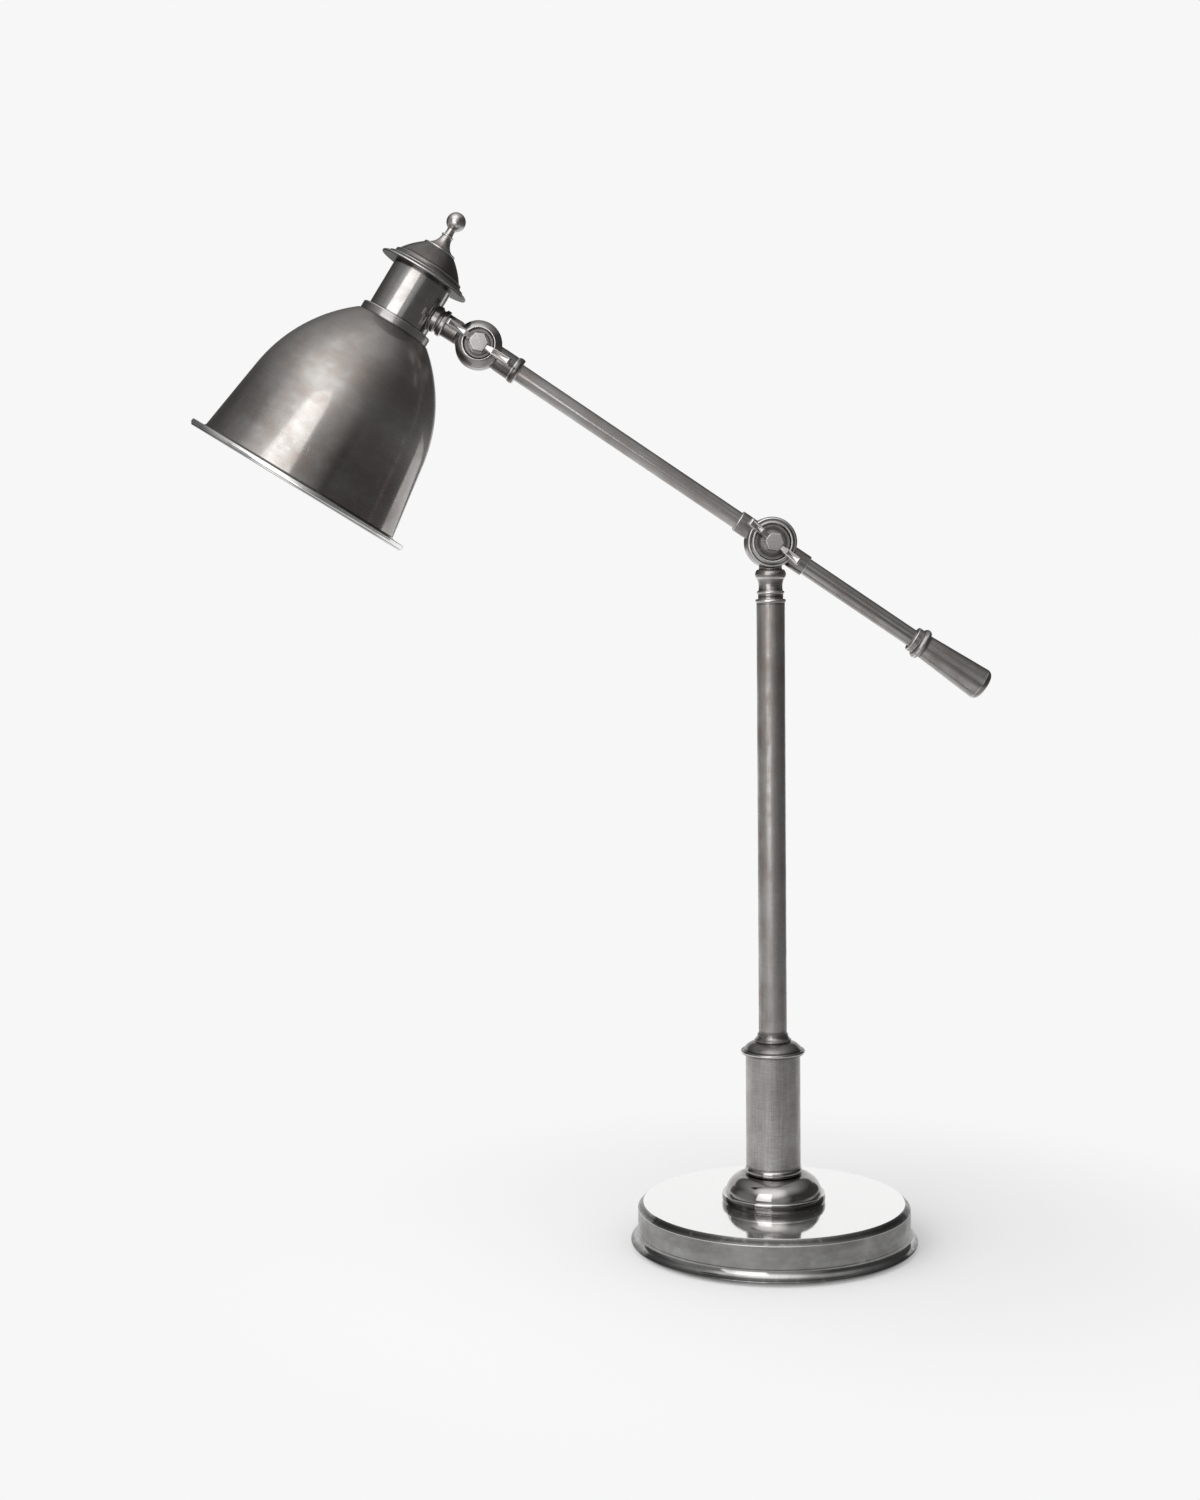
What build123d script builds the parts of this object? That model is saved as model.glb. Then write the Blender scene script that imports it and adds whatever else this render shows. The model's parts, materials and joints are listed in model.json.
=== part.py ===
from build123d import *
import math
import os

# Desk lamp with a weighted round base, a post, a tilting boom arm and a tilting bell shade.
# Millimetres. Origin: centre of the underside. +Z up, the arm lies in the XZ plane and the
# shade hangs towards -X. The two wing screws face -Y.

# Shared fits
slip_fit = 0.05
body_gap = 0.4
joint_gap = 0.1
cut_overrun = 2.0
quarter_round_share = 1 - math.sqrt(0.5)
mitre_share = math.sqrt(2) - 1

# Base
felt_thickness = 2.0
felt_proud = 0.5
base_wall = 1.2
base_flange_r = 82.5
base_flange_height = 2.5
base_flange_round = 0.9
base_cove_height = 5.5
base_cove_depth = 1.0
base_flange_step = 4.3
base_band_height = 13.0
base_chamfer = 3.3
weight_clearance = 0.3
nut_recess_r = 17.0
nut_recess_clearance = 3.0

# Cord outlet in the base's side
outlet_angle = 17.0
grommet_bore_r = 2.2
grommet_neck_r = 3.6
grommet_flange_r = 5.0
grommet_flange_thickness = 1.4
cord_groove_r = 4.0

# Threaded tube that ties the base, the foot and the post together
tie_rod_r = 5.0
tie_rod_bore_r = 3.0
tie_rod_proud = 1.0
base_washer_thickness = 2.0
base_nut_flats = 17.0
base_nut_height = 6.0

# Column foot
foot_ring_r = 30.0
foot_ring_height = 6.2
foot_ring_bow = 0.7
foot_ring_step = 2.0
foot_bell_height = 9.6
foot_bell_bow = 3.0
foot_neck_step = 0.6
foot_bead_step = 0.8
foot_bead_height = 4.4
foot_bead_bow = 0.9
foot_spigot_height = 12.0

# Column sleeve and its cap
sleeve_r = 15.6
sleeve_wall = 1.2
sleeve_length = 65.6
cap_spigot_height = 8.0
cap_rim_overhang = 2.8
cap_rim_height = 2.4
cap_rim_bow = 0.8
cap_dome_step = 1.6
cap_dome_height = 4.6
cap_dome_bow = 1.0
cap_bead_step = 2.6
cap_bead_height = 1.4
cap_bead_bow = 0.5
cap_flare_height = 3.0
cap_flare_bow = 0.4
cap_lip_wall = 0.7

# Post
post_r = 8.0
post_wall = 1.2
post_visible_length = 246.0
post_plug_length = 20.0

# Turned ferrule at the post's top, which carries the fixed half of the arm's knuckle
wire_bore_r = 2.4
ferrule_spigot_length = 16.0
ferrule_bead_r = 8.1
ferrule_bead_bow = 0.5
ferrule_low_bead_height = 2.2
ferrule_groove_r = 7.1
ferrule_groove_height = 2.8
ferrule_high_bead_r = 7.3
ferrule_high_bead_height = 1.8
ferrule_waist_r = 6.9
ferrule_waist_height = 6.6
ferrule_waist_bow = 0.5
ferrule_bulge_r = 7.5
ferrule_bulge_height = 5.4
ferrule_bulge_bow = 1.2
ferrule_neck_inset = 0.6
ferrule_neck_height = 0.6

# Knuckles: two half discs on a wing screw, with a friction washer between them
post_knuckle_r = 14.2
head_knuckle_r = 13.1
knuckle_cover = 0.3
knuckle_edge = 1.6
friction_washer = 0.5
friction_washer_inset = 3.0
screw_r = 3.0
cup_inset = 1.3
cup_height = 3.4
cup_bow = 1.1
cup_land = 3.1
cup_lip = 0.9
cup_dish_depth = 2.2
cup_dish_slope = 1.0
cup_washer_r = 6.4
cup_washer_height = 1.0
knuckle_nut_flats = 11.0
knuckle_nut_height = 4.5
knuckle_nut_dome = 2.0
knuckle_nut_crown_r = 3.5
knuckle_nut_edge = 0.9
knuckle_nut_bow = 0.45
screw_end_gap = 0.8

# Wing screws
boss_r = 5.4
boss_height = 9.0
boss_sides = 8
boss_edge = 0.6
wing_thickness = 3.1
wing_root_height = 4.6
wing_lift = 2.2
wing_forward = 6.2
wing_tip_height = 7.0
wing_tip_width = 4.6
wing_round = 1.2
post_wing_reach = 18.2
head_wing_reach = 20.6

# Boom arm
arm_angle = 34.2
arm_reach = 196.5
arm_tube_r = 5.0
arm_tube_wall = 1.0
arm_collar_wall = 1.15
arm_collar_edge = 0.5
arm_front_collar_length = 7.6
arm_rear_collar_length = 9.6
arm_socket_land = 1.4
end_collar_wall = 1.9
end_collar_length = 9.4
end_bead_step = 0.3
end_bead_bow = 0.5
end_bead_height = 3.8

# Counterweight
rear_tube_length = 73.5
weight_collar_wall = 2.3
weight_collar_length = 3.6
weight_ring_step = 0.4
weight_ring_bow = 1.4
weight_ring_length = 4.4
weight_body_neck_wall = 1.9
weight_body_end_r = 9.2
weight_body_length = 42.0
weight_end_round = 3.6
weight_socket_depth = 14.0

# Head: heights run up the shade's axis from the plane of its mouth
head_tilt = 32.0
stem_height = 16.7
shade_wall = 1.0
shade_hip_r = 53.3
shade_flare = 6.0
shade_wall_height = 41.3
shade_dome_height = 55.8
shade_top_land = 1.1
shade_foot_height = 5.2
brim_width = 8.2
brim_bead_r = 2.1
brim_bead_height = 0.7
brim_flare_bow = 1.0
shade_collar_r = 20.9
shade_collar_height = 5.0
shade_collar_edge = 0.8
neck_r = 17.9
neck_wall = 1.2
neck_length = 33.0

# Vent cap and finial
vent_spigot_height = 4.0
vent_wall = 1.2
vent_overhang = 8.5
vent_rim_height = 1.7
vent_rim_bow = 0.6
vent_flare_height = 4.2
vent_flare_bow = 0.9
vent_step_overhang = 2.4
vent_step = 1.0
vent_step_height = 0.6
vent_dome_height = 10.0
vent_dome_bow = 0.9
vent_top_land = 0.5
finial_stud_r = 3.0
finial_stud_length = 14.0
finial_base_r = 9.3
finial_base_height = 1.2
finial_base_bow = 0.3
finial_cone_r = 8.3
finial_cone_height = 8.0
finial_cone_bow = 1.3
finial_waist_r = 3.0
finial_neck_r = 2.4
finial_neck_height = 4.4
finial_ball_r = 5.4

# Stem between the knuckle and the neck
stem_inset = 0.7
stem_length = 8.0
stem_flange_r = 7.7
stem_flange_length = 6.1
stem_spigot_r = 5.0
stem_spigot_proud = 1.0
saddle_washer_r = 7.4
saddle_washer_thickness = 4.0
lock_nut_flats = 13.0
lock_nut_height = 3.5

# Lamp holder, hung under the shade's top by a hollow nipple
nipple_r = 5.0
nipple_cap_gap = 2.5
holder_wall = 2.0
holder_seat = 6.0
holder_lip = 1.0
holder_ring_step = 1.0
holder_ring_height = 7.0
holder_floor = 4.0
insulator_height = 6.0
insulator_hole_r = 1.5
contact_pocket_r = 6.0
contact_pocket_depth = 3.0
lamp_thread_r = 13.25
shell_wall = 0.7
shell_length = 24.0
contact_r = 4.0
contact_height = 2.0
contact_bow = 0.6
rivet_r = 1.4

# Heights up the base and the column
shell_z = felt_proud
flange_top_z = shell_z + base_flange_height
band_low_z = flange_top_z + base_cove_height
band_top_z = band_low_z + base_band_height
base_top_z = band_top_z + base_chamfer
weight_top_z = base_top_z - base_wall
outlet_z = band_low_z + base_band_height / 2
nut_stack = base_washer_thickness + base_nut_height + tie_rod_proud
recess_top_z = felt_thickness + nut_recess_clearance + nut_stack
foot_ring_top_z = base_top_z + foot_ring_height
foot_bell_top_z = foot_ring_top_z + foot_bell_height
foot_top_z = foot_bell_top_z + foot_bead_height
sleeve_top_z = foot_top_z + sleeve_length
cap_rim_top_z = sleeve_top_z + cap_rim_height
cap_dome_top_z = cap_rim_top_z + cap_dome_height
cap_bead_top_z = cap_dome_top_z + cap_bead_height
cap_top_z = cap_bead_top_z + cap_flare_height
post_low_z = foot_bell_top_z
post_top_z = cap_top_z + post_visible_length
low_bead_top_z = post_top_z + ferrule_low_bead_height
groove_top_z = low_bead_top_z + ferrule_groove_height
high_bead_top_z = groove_top_z + ferrule_high_bead_height
waist_top_z = high_bead_top_z + ferrule_waist_height
bulge_top_z = waist_top_z + ferrule_bulge_height
neck_top_z = bulge_top_z + ferrule_neck_height
post_pivot_z = neck_top_z + body_gap + post_knuckle_r

# Radii that follow from the fits
base_band_r = base_flange_r - base_flange_step
base_cavity_r = base_band_r - base_wall
rod_hole_r = tie_rod_r + slip_fit
sleeve_inner_r = sleeve_r - sleeve_wall
foot_bell_r = foot_ring_r - foot_ring_step
foot_neck_r = sleeve_r - foot_neck_step
foot_bead_r = sleeve_r + foot_bead_step
cap_rim_r = sleeve_r + cap_rim_overhang
cap_dome_r = cap_rim_r - cap_dome_step
cap_bead_r = post_r + cap_bead_step
post_inner_r = post_r - post_wall
post_hole_r = post_r + slip_fit
screw_hole_r = screw_r + slip_fit
arm_socket_r = arm_tube_r + slip_fit
arm_collar_r = arm_tube_r + arm_collar_wall
end_collar_r = arm_tube_r + end_collar_wall
knuckle_half = end_collar_r + knuckle_cover
ferrule_neck_r = knuckle_half - ferrule_neck_inset
stem_r = knuckle_half - stem_inset
neck_inner_r = neck_r - neck_wall
stem_hole_r = stem_spigot_r + slip_fit
nipple_hole_r = nipple_r + slip_fit
nipple_bore_r = finial_stud_r + slip_fit
shell_r = lamp_thread_r + shell_wall
holder_shoulder_r = shell_r + slip_fit + holder_wall
shade_hole_r = holder_shoulder_r - holder_seat
shade_foot_r = shade_hip_r + shade_flare
shade_top_r = shade_collar_r + shade_top_land
vent_rim_r = neck_r + vent_overhang
vent_step_r = neck_r + vent_step_overhang
vent_top_r = finial_base_r + vent_top_land

# Knuckle stack, measured from the arm's plane
rear_face = friction_washer / 2
front_face = friction_washer / 2 + joint_gap
rear_back = rear_face + knuckle_half
front_back = front_face + knuckle_half
cup_front = front_back + cup_height
boss_seat = cup_front - cup_dish_depth + cup_washer_height + joint_gap

# Distance from the post's pivot to the counterweight's collar
weight_start = post_knuckle_r + body_gap + arm_rear_collar_length + rear_tube_length

# Heights up the head's axis
shade_hip_height = shade_foot_height + shade_wall_height
shade_height = shade_hip_height + shade_dome_height
collar_top_u = shade_height + shade_collar_height
stem_u = shade_height + stem_height
neck_top_u = shade_height + neck_length
vent_rim_top_u = neck_top_u + vent_rim_height
vent_flare_top_u = vent_rim_top_u + vent_flare_height
vent_step_top_u = vent_flare_top_u + vent_step_height
vent_top_u = vent_step_top_u + vent_dome_height
holder_top_u = shade_height - shade_wall
insulator_top_u = holder_top_u - holder_floor
insulator_low_u = insulator_top_u - insulator_height
contact_seat_u = insulator_low_u + contact_pocket_depth
shell_low_u = insulator_low_u - shell_length
holder_low_u = shell_low_u - holder_lip
nipple_top_u = vent_top_u - vent_wall - nipple_cap_gap

# Distances out from the head's axis along the stem
saddle_washer_flat = neck_inner_r - saddle_washer_thickness
stem_spigot_end = saddle_washer_flat - lock_nut_height - stem_spigot_proud
stem_flange_top = neck_r + stem_flange_length
stem_end = stem_flange_top + stem_length
pivot_offset = stem_end + body_gap + head_knuckle_r

# Directions and pivots
arm_up = Vector(-math.cos(math.radians(arm_angle)), 0, math.sin(math.radians(arm_angle)))
head_up = Vector(math.sin(math.radians(head_tilt)), 0, math.cos(math.radians(head_tilt)))
head_out = Vector(math.cos(math.radians(head_tilt)), 0, -math.sin(math.radians(head_tilt)))
outlet_out = Vector(math.cos(math.radians(outlet_angle)), math.sin(math.radians(outlet_angle)), 0)
rear_way = Vector(0, 1, 0)
post_pivot = Vector(0, 0, post_pivot_z)
head_pivot = post_pivot + arm_up * arm_reach
stem_root = head_pivot - head_out * pivot_offset
mouth_centre = stem_root - head_up * stem_u

# Planes that the turned pieces are made on, with Z along each piece's own axis
arm_front_plane = Plane(origin=post_pivot, x_dir=rear_way, z_dir=arm_up)
arm_rear_plane = Plane(origin=post_pivot, x_dir=rear_way, z_dir=arm_up * -1)
arm_end_plane = Plane(origin=head_pivot, x_dir=rear_way, z_dir=arm_up * -1)
head_plane = Plane(origin=mouth_centre, x_dir=head_out, z_dir=head_up)
stem_plane = Plane(origin=stem_root, x_dir=rear_way, z_dir=head_out)
outlet_plane = Plane(origin=(0, 0, outlet_z), x_dir=(-outlet_out.Y, outlet_out.X, 0), z_dir=outlet_out)


def knuckle_front_plane(pivot):
    """Plane at a pivot with Z towards the wing screw's head and X along the arm."""
    return Plane(origin=pivot, x_dir=arm_up, z_dir=rear_way * -1)


def knuckle_rear_plane(pivot):
    """Plane at a pivot with Z towards the knuckle's back."""
    return Plane(origin=pivot, x_dir=arm_up, z_dir=rear_way)


def turned(outline, plane=Plane.XY):
    """Solid turned about a plane's Z axis. Points are (radius, height), counter-clockwise;
    a third value bows the side that ends there outwards, or inwards where it is negative."""
    sides = []
    for start, end in zip(outline[-1:] + outline[:-1], outline):
        if len(end) == 3:
            sides.append(SagittaArc(start[:2], end[:2], -end[2]))
        else:
            sides.append(Line(start[:2], end[:2]))
    return plane * revolve(Plane.XZ * make_face(sides), Axis.Z)


def ring(inner_r, outer_r, low, high, plane=Plane.XY):
    """Plain tube or washer."""
    return turned([(inner_r, low), (outer_r, low), (outer_r, high), (inner_r, high)], plane)


def rod(radius, low, high, plane=Plane.XY):
    """Plain round bar."""
    return ring(0, radius, low, high, plane)


def hex_nut(flats, bore_r, low, high, plane=Plane.XY):
    """Hexagon nut with a plain bore."""
    face = RegularPolygon(flats / 2, 6, major_radius=False) - Circle(bore_r)
    return plane * Pos(0, 0, low) * extrude(face, high - low)


# Base pieces


def make_base_shell():
    """Turned cover: rolled flange, flared cove, plain band, chamfered top."""
    mitre = base_wall * mitre_share
    edge_r = base_flange_r - base_flange_round
    shell = turned([
        (base_cavity_r, shell_z),
        (edge_r, shell_z),
        (edge_r, flange_top_z, base_flange_round),
        (base_band_r, band_low_z, -base_cove_depth),
        (base_band_r, band_top_z),
        (base_band_r - base_chamfer, base_top_z),
        (rod_hole_r, base_top_z),
        (rod_hole_r, weight_top_z),
        (base_band_r - base_chamfer - mitre, weight_top_z),
        (base_cavity_r, band_top_z - mitre),
    ])
    hole_r = grommet_neck_r + slip_fit
    return shell - rod(hole_r, base_cavity_r - cut_overrun, base_band_r + cut_overrun, outlet_plane)


def make_base_weight():
    """Cast disc that fills the cover, with a nut recess and a groove for the cord."""
    weight_r = base_cavity_r - weight_clearance
    disc = turned([
        (nut_recess_r, felt_thickness),
        (weight_r, felt_thickness),
        (weight_r, weight_top_z - base_chamfer),
        (weight_r - base_chamfer, weight_top_z),
        (rod_hole_r, weight_top_z),
        (rod_hole_r, recess_top_z),
        (nut_recess_r, recess_top_z),
    ])
    groove_depth = outlet_z - felt_thickness + cut_overrun
    groove_floor = Pos(0, -groove_depth / 2) * Rectangle(2 * cord_groove_r, groove_depth)
    groove_length = weight_r - nut_recess_r / 2 + cut_overrun
    groove = extrude(Circle(cord_groove_r) + groove_floor, groove_length)
    return disc - outlet_plane * Pos(0, 0, nut_recess_r / 2) * groove


def make_base_felt():
    """Felt disc on the underside."""
    return rod(base_cavity_r - weight_clearance, 0, felt_thickness)


def make_cord_grommet():
    """Rubber bush in the cover's side; its flange follows the round band."""
    flange_top = base_band_r + grommet_flange_thickness
    flange = ring(grommet_bore_r, grommet_flange_r, base_cavity_r, flange_top, outlet_plane)
    flange -= rod(base_band_r, 0, base_top_z + cut_overrun)
    return flange + ring(grommet_bore_r, grommet_neck_r, base_cavity_r, flange_top, outlet_plane)


def make_tie_rod():
    """Hollow threaded tube from under the weight up into the post."""
    return ring(tie_rod_bore_r, tie_rod_r, recess_top_z - nut_stack, post_low_z + post_plug_length)


def make_base_washer():
    """Washer in the weight's recess."""
    washer_r = nut_recess_r - nut_recess_clearance
    return ring(rod_hole_r, washer_r, recess_top_z - base_washer_thickness, recess_top_z)


def make_base_nut():
    """Hexagon nut that pulls the stack together."""
    top = recess_top_z - base_washer_thickness
    return hex_nut(base_nut_flats, rod_hole_r, top - base_nut_height, top)


# Column pieces


def make_column_foot():
    """Bell foot with a socket for the post and a spigot for the sleeve."""
    ring_edge_r = foot_ring_r - foot_ring_bow
    bead_edge_r = foot_bead_r - foot_bead_bow
    spigot_r = sleeve_inner_r - slip_fit
    return turned([
        (rod_hole_r, base_top_z),
        (ring_edge_r, base_top_z),
        (ring_edge_r, foot_ring_top_z, foot_ring_bow),
        (foot_bell_r, foot_ring_top_z),
        (foot_neck_r, foot_bell_top_z, foot_bell_bow),
        (bead_edge_r, foot_bell_top_z),
        (bead_edge_r, foot_top_z, foot_bead_bow),
        (spigot_r, foot_top_z),
        (spigot_r, foot_top_z + foot_spigot_height),
        (post_hole_r, foot_top_z + foot_spigot_height),
        (post_hole_r, post_low_z),
        (rod_hole_r, post_low_z),
    ])


def make_column_sleeve():
    """Tube round the post's lower end."""
    return ring(sleeve_inner_r, sleeve_r, foot_top_z, sleeve_top_z)


def make_column_cap():
    """Domed cap that closes the sleeve round the post."""
    rim_edge_r = cap_rim_r - cap_rim_bow
    bead_edge_r = cap_bead_r - cap_bead_bow
    spigot_r = sleeve_inner_r - slip_fit
    return turned([
        (post_hole_r, sleeve_top_z - cap_spigot_height),
        (spigot_r, sleeve_top_z - cap_spigot_height),
        (spigot_r, sleeve_top_z),
        (rim_edge_r, sleeve_top_z),
        (rim_edge_r, cap_rim_top_z, cap_rim_bow),
        (cap_dome_r, cap_rim_top_z),
        (bead_edge_r, cap_dome_top_z, cap_dome_bow),
        (bead_edge_r, cap_bead_top_z, cap_bead_bow),
        (post_hole_r + cap_lip_wall, cap_top_z, -cap_flare_bow),
        (post_hole_r, cap_top_z),
    ])


def make_post_tube():
    """Straight tube of the post."""
    return ring(post_inner_r, post_r, post_low_z, post_top_z)


def make_post_plug():
    """Threaded plug brazed into the post's foot."""
    return ring(rod_hole_r, post_inner_r - slip_fit, post_low_z, post_low_z + post_plug_length)


# Knuckle pieces


def half_disc(radius, face, plane):
    """One half of a knuckle, from its inner face outwards."""
    back = face + knuckle_half
    return turned([
        (screw_hole_r, face),
        (radius, face),
        (radius, back - knuckle_edge),
        (radius - knuckle_edge, back, knuckle_edge * quarter_round_share),
        (screw_hole_r, back),
    ], plane)


def half_web(radius, reach, face, plane, pivot_height, side):
    """Half-round web that joins a knuckle's half disc to the round neck beside it."""
    bar = rod(radius, 0, reach)
    span = 2 * radius + 2 * cut_overrun
    keep = Box(span, span, reach, align=(Align.MIN, Align.CENTER, Align.MIN))
    if side > 0:
        half = bar & Pos(face, 0, 0) * keep
    else:
        half = bar & Pos(-face - span, 0, 0) * keep
    return plane * Pos(0, 0, pivot_height) * half


def drill_screw_hole(part, plane):
    """Clear the wing screw's hole right through a knuckle half."""
    return part - rod(screw_hole_r, 0, rear_back + cut_overrun, plane)


def knuckle_cup(radius, pivot):
    """Dished cup washer under the wing screw's head."""
    cup_r = radius - cup_inset
    dish_r = cup_r - cup_land
    dish_z = cup_front - cup_dish_depth
    washer_z = dish_z + cup_washer_height
    return turned([
        (screw_hole_r, front_back),
        (cup_r, front_back),
        (dish_r + cup_lip, cup_front, cup_bow),
        (dish_r, cup_front),
        (dish_r - cup_dish_slope, dish_z),
        (cup_washer_r, dish_z),
        (cup_washer_r, washer_z),
        (screw_hole_r, washer_z),
    ], knuckle_front_plane(pivot))


def friction_disc(radius, pivot):
    """Thin fibre washer between the two half discs."""
    washer_r = radius - friction_washer_inset
    return ring(screw_hole_r, washer_r, -rear_face, rear_face, knuckle_rear_plane(pivot))


def knuckle_nut(pivot):
    """Domed nut on the knuckle's back that takes the wing screw's end."""
    plane = knuckle_rear_plane(pivot)
    top = rear_back + knuckle_nut_height
    body = hex_nut(knuckle_nut_flats, screw_hole_r, rear_back, top, plane)
    crown = turned([
        (0, top),
        (knuckle_nut_flats / 2 - knuckle_nut_edge, top),
        (knuckle_nut_crown_r, top + knuckle_nut_dome, knuckle_nut_bow),
        (0, top + knuckle_nut_dome),
    ], plane)
    return body + crown


def wing_screw(reach, pivot):
    """Faceted head with two forward-swept wings on a plain shank."""
    plane = knuckle_front_plane(pivot)
    shank_end = rear_back + knuckle_nut_height - screw_end_gap
    boss = extrude(RegularPolygon(boss_r, boss_sides), boss_height)
    boss = chamfer(boss.edges().group_by(Axis.Z)[-1], boss_edge)
    root = wing_lift
    tip = wing_lift + wing_forward
    outline = Polyline(
        (0, root),
        (reach - wing_tip_width, root),
        (reach, tip - wing_round),
        (reach, tip + wing_tip_height),
        (reach - wing_tip_width, tip + wing_tip_height),
        (boss_r, root + wing_root_height),
        (0, root + wing_root_height),
        close=True,
    )
    blade = make_face(outline)
    tip_corners = blade.vertices().group_by(Axis.X)[-1] + blade.vertices().group_by(Axis.Y)[-1][:1]
    blade = fillet(tip_corners, wing_round)
    wing = extrude(Plane.XZ * blade, wing_thickness / 2, both=True)
    head = boss + wing + mirror(wing, Plane.YZ)
    return plane * (Pos(0, 0, boss_seat) * head + rod(screw_r, -shank_end, boss_seat))


def make_post_ferrule():
    """Beaded ferrule in the post's top with the fixed half of the arm's knuckle."""
    low = post_top_z - ferrule_spigot_length
    spigot_r = post_inner_r - slip_fit
    body = turned([
        (wire_bore_r, low),
        (spigot_r, low),
        (spigot_r, post_top_z),
        (ferrule_bead_r, post_top_z),
        (ferrule_bead_r, low_bead_top_z, ferrule_bead_bow),
        (ferrule_groove_r, low_bead_top_z),
        (ferrule_groove_r, groove_top_z),
        (ferrule_high_bead_r, groove_top_z),
        (ferrule_high_bead_r, high_bead_top_z, ferrule_bead_bow),
        (ferrule_waist_r, high_bead_top_z),
        (ferrule_bulge_r, waist_top_z, -ferrule_waist_bow),
        (ferrule_bulge_r, bulge_top_z, ferrule_bulge_bow),
        (ferrule_neck_r, bulge_top_z),
        (ferrule_neck_r, neck_top_z),
        (wire_bore_r, neck_top_z),
    ])
    upright = Plane(origin=(0, 0, 0), x_dir=rear_way, z_dir=(0, 0, 1))
    web_reach = post_pivot_z - bulge_top_z
    web = half_web(ferrule_neck_r, web_reach, rear_face, upright, bulge_top_z, 1)
    rear_plane = knuckle_rear_plane(post_pivot)
    knuckle = body + web + half_disc(post_knuckle_r, rear_face, rear_plane)
    return drill_screw_hole(knuckle, rear_plane)


def make_post_friction_washer():
    """Friction washer of the post's knuckle."""
    return friction_disc(post_knuckle_r, post_pivot)


def make_post_knuckle_nut():
    """Domed nut behind the post's knuckle."""
    return knuckle_nut(post_pivot)


def make_post_wing_screw():
    """Wing screw that locks the arm."""
    return wing_screw(post_wing_reach, post_pivot)


# Arm pieces


def tube_socket(collar_r, start, length, plane):
    """Collar beside a knuckle with a blind socket for the arm's tube and a wire hole."""
    end = start + length
    return turned([
        (wire_bore_r, start),
        (collar_r, start),
        (collar_r, end - arm_collar_edge),
        (collar_r - arm_collar_edge, end, arm_collar_edge * quarter_round_share),
        (arm_socket_r, end),
        (arm_socket_r, start + arm_socket_land),
        (wire_bore_r, start + arm_socket_land),
    ], plane)


def make_arm_knuckle():
    """Moving half of the post's knuckle, with a socket on each side for the arm's tubes."""
    start = post_knuckle_r + body_gap
    front_plane = knuckle_front_plane(post_pivot)
    knuckle = half_disc(post_knuckle_r, front_face, front_plane)
    for plane, length in (
        (arm_front_plane, arm_front_collar_length),
        (arm_rear_plane, arm_rear_collar_length),
    ):
        knuckle += half_web(arm_collar_r, start + arm_socket_land, front_face, plane, 0, -1)
        knuckle += tube_socket(arm_collar_r, start, length, plane)
        knuckle -= rod(arm_socket_r, start + arm_socket_land, start + length, plane)
    return drill_screw_hole(knuckle, front_plane)


def make_arm_knuckle_cup():
    """Cup washer of the post's knuckle."""
    return knuckle_cup(post_knuckle_r, post_pivot)


def make_arm_tube_front():
    """Long tube from the post's knuckle to the head's knuckle."""
    start = post_knuckle_r + body_gap + arm_socket_land
    end = arm_reach - head_knuckle_r - body_gap - arm_socket_land
    return ring(arm_tube_r - arm_tube_wall, arm_tube_r, start, end, arm_front_plane)


def make_arm_tube_rear():
    """Short tube from the post's knuckle into the counterweight."""
    start = post_knuckle_r + body_gap + arm_socket_land
    end = weight_start + weight_collar_length + weight_ring_length + weight_socket_depth
    return ring(arm_tube_r - arm_tube_wall, arm_tube_r, start, end, arm_rear_plane)


def make_counterweight_collar():
    """Collar and ring against which the counterweight is screwed."""
    low = weight_start
    step = low + weight_collar_length
    high = step + weight_ring_length
    collar_r = arm_tube_r + weight_collar_wall
    ring_edge_r = collar_r + weight_ring_step
    return turned([
        (arm_socket_r, low),
        (collar_r - arm_collar_edge, low),
        (collar_r, low + arm_collar_edge, arm_collar_edge * quarter_round_share),
        (collar_r, step),
        (ring_edge_r, step),
        (ring_edge_r, high, weight_ring_bow),
        (arm_socket_r, high),
    ], arm_rear_plane)


def make_counterweight():
    """Tapered solid weight with a rounded end."""
    low = weight_start + weight_collar_length + weight_ring_length
    high = low + weight_body_length
    return turned([
        (arm_socket_r, low),
        (arm_tube_r + weight_body_neck_wall, low),
        (weight_body_end_r, high - weight_end_round),
        (weight_body_end_r - weight_end_round, high, weight_end_round * quarter_round_share),
        (0, high),
        (0, low + weight_socket_depth),
        (arm_socket_r, low + weight_socket_depth),
    ], arm_rear_plane)


def make_arm_end_knuckle():
    """Arm's half of the head's knuckle, with a beaded collar for the tube."""
    start = head_knuckle_r + body_gap
    end = start + end_collar_length
    bead_end = end + end_bead_height
    bead_r = end_collar_r + end_bead_step
    front_plane = knuckle_front_plane(head_pivot)
    collar = turned([
        (wire_bore_r, start),
        (end_collar_r, start),
        (end_collar_r, end),
        (bead_r, end),
        (bead_r, bead_end, end_bead_bow),
        (arm_socket_r, bead_end),
        (arm_socket_r, start + arm_socket_land),
        (wire_bore_r, start + arm_socket_land),
    ], arm_end_plane)
    web = half_web(end_collar_r, start + arm_socket_land, front_face, arm_end_plane, 0, -1)
    knuckle = half_disc(head_knuckle_r, front_face, front_plane) + web + collar
    knuckle -= rod(arm_socket_r, start + arm_socket_land, bead_end, arm_end_plane)
    return drill_screw_hole(knuckle, front_plane)


def make_head_knuckle_cup():
    """Cup washer of the head's knuckle."""
    return knuckle_cup(head_knuckle_r, head_pivot)


# Head pieces


def make_head_friction_washer():
    """Friction washer of the head's knuckle."""
    return friction_disc(head_knuckle_r, head_pivot)


def make_head_knuckle_nut():
    """Domed nut behind the head's knuckle."""
    return knuckle_nut(head_pivot)


def make_head_wing_screw():
    """Wing screw that locks the shade."""
    return wing_screw(head_wing_reach, head_pivot)


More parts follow.
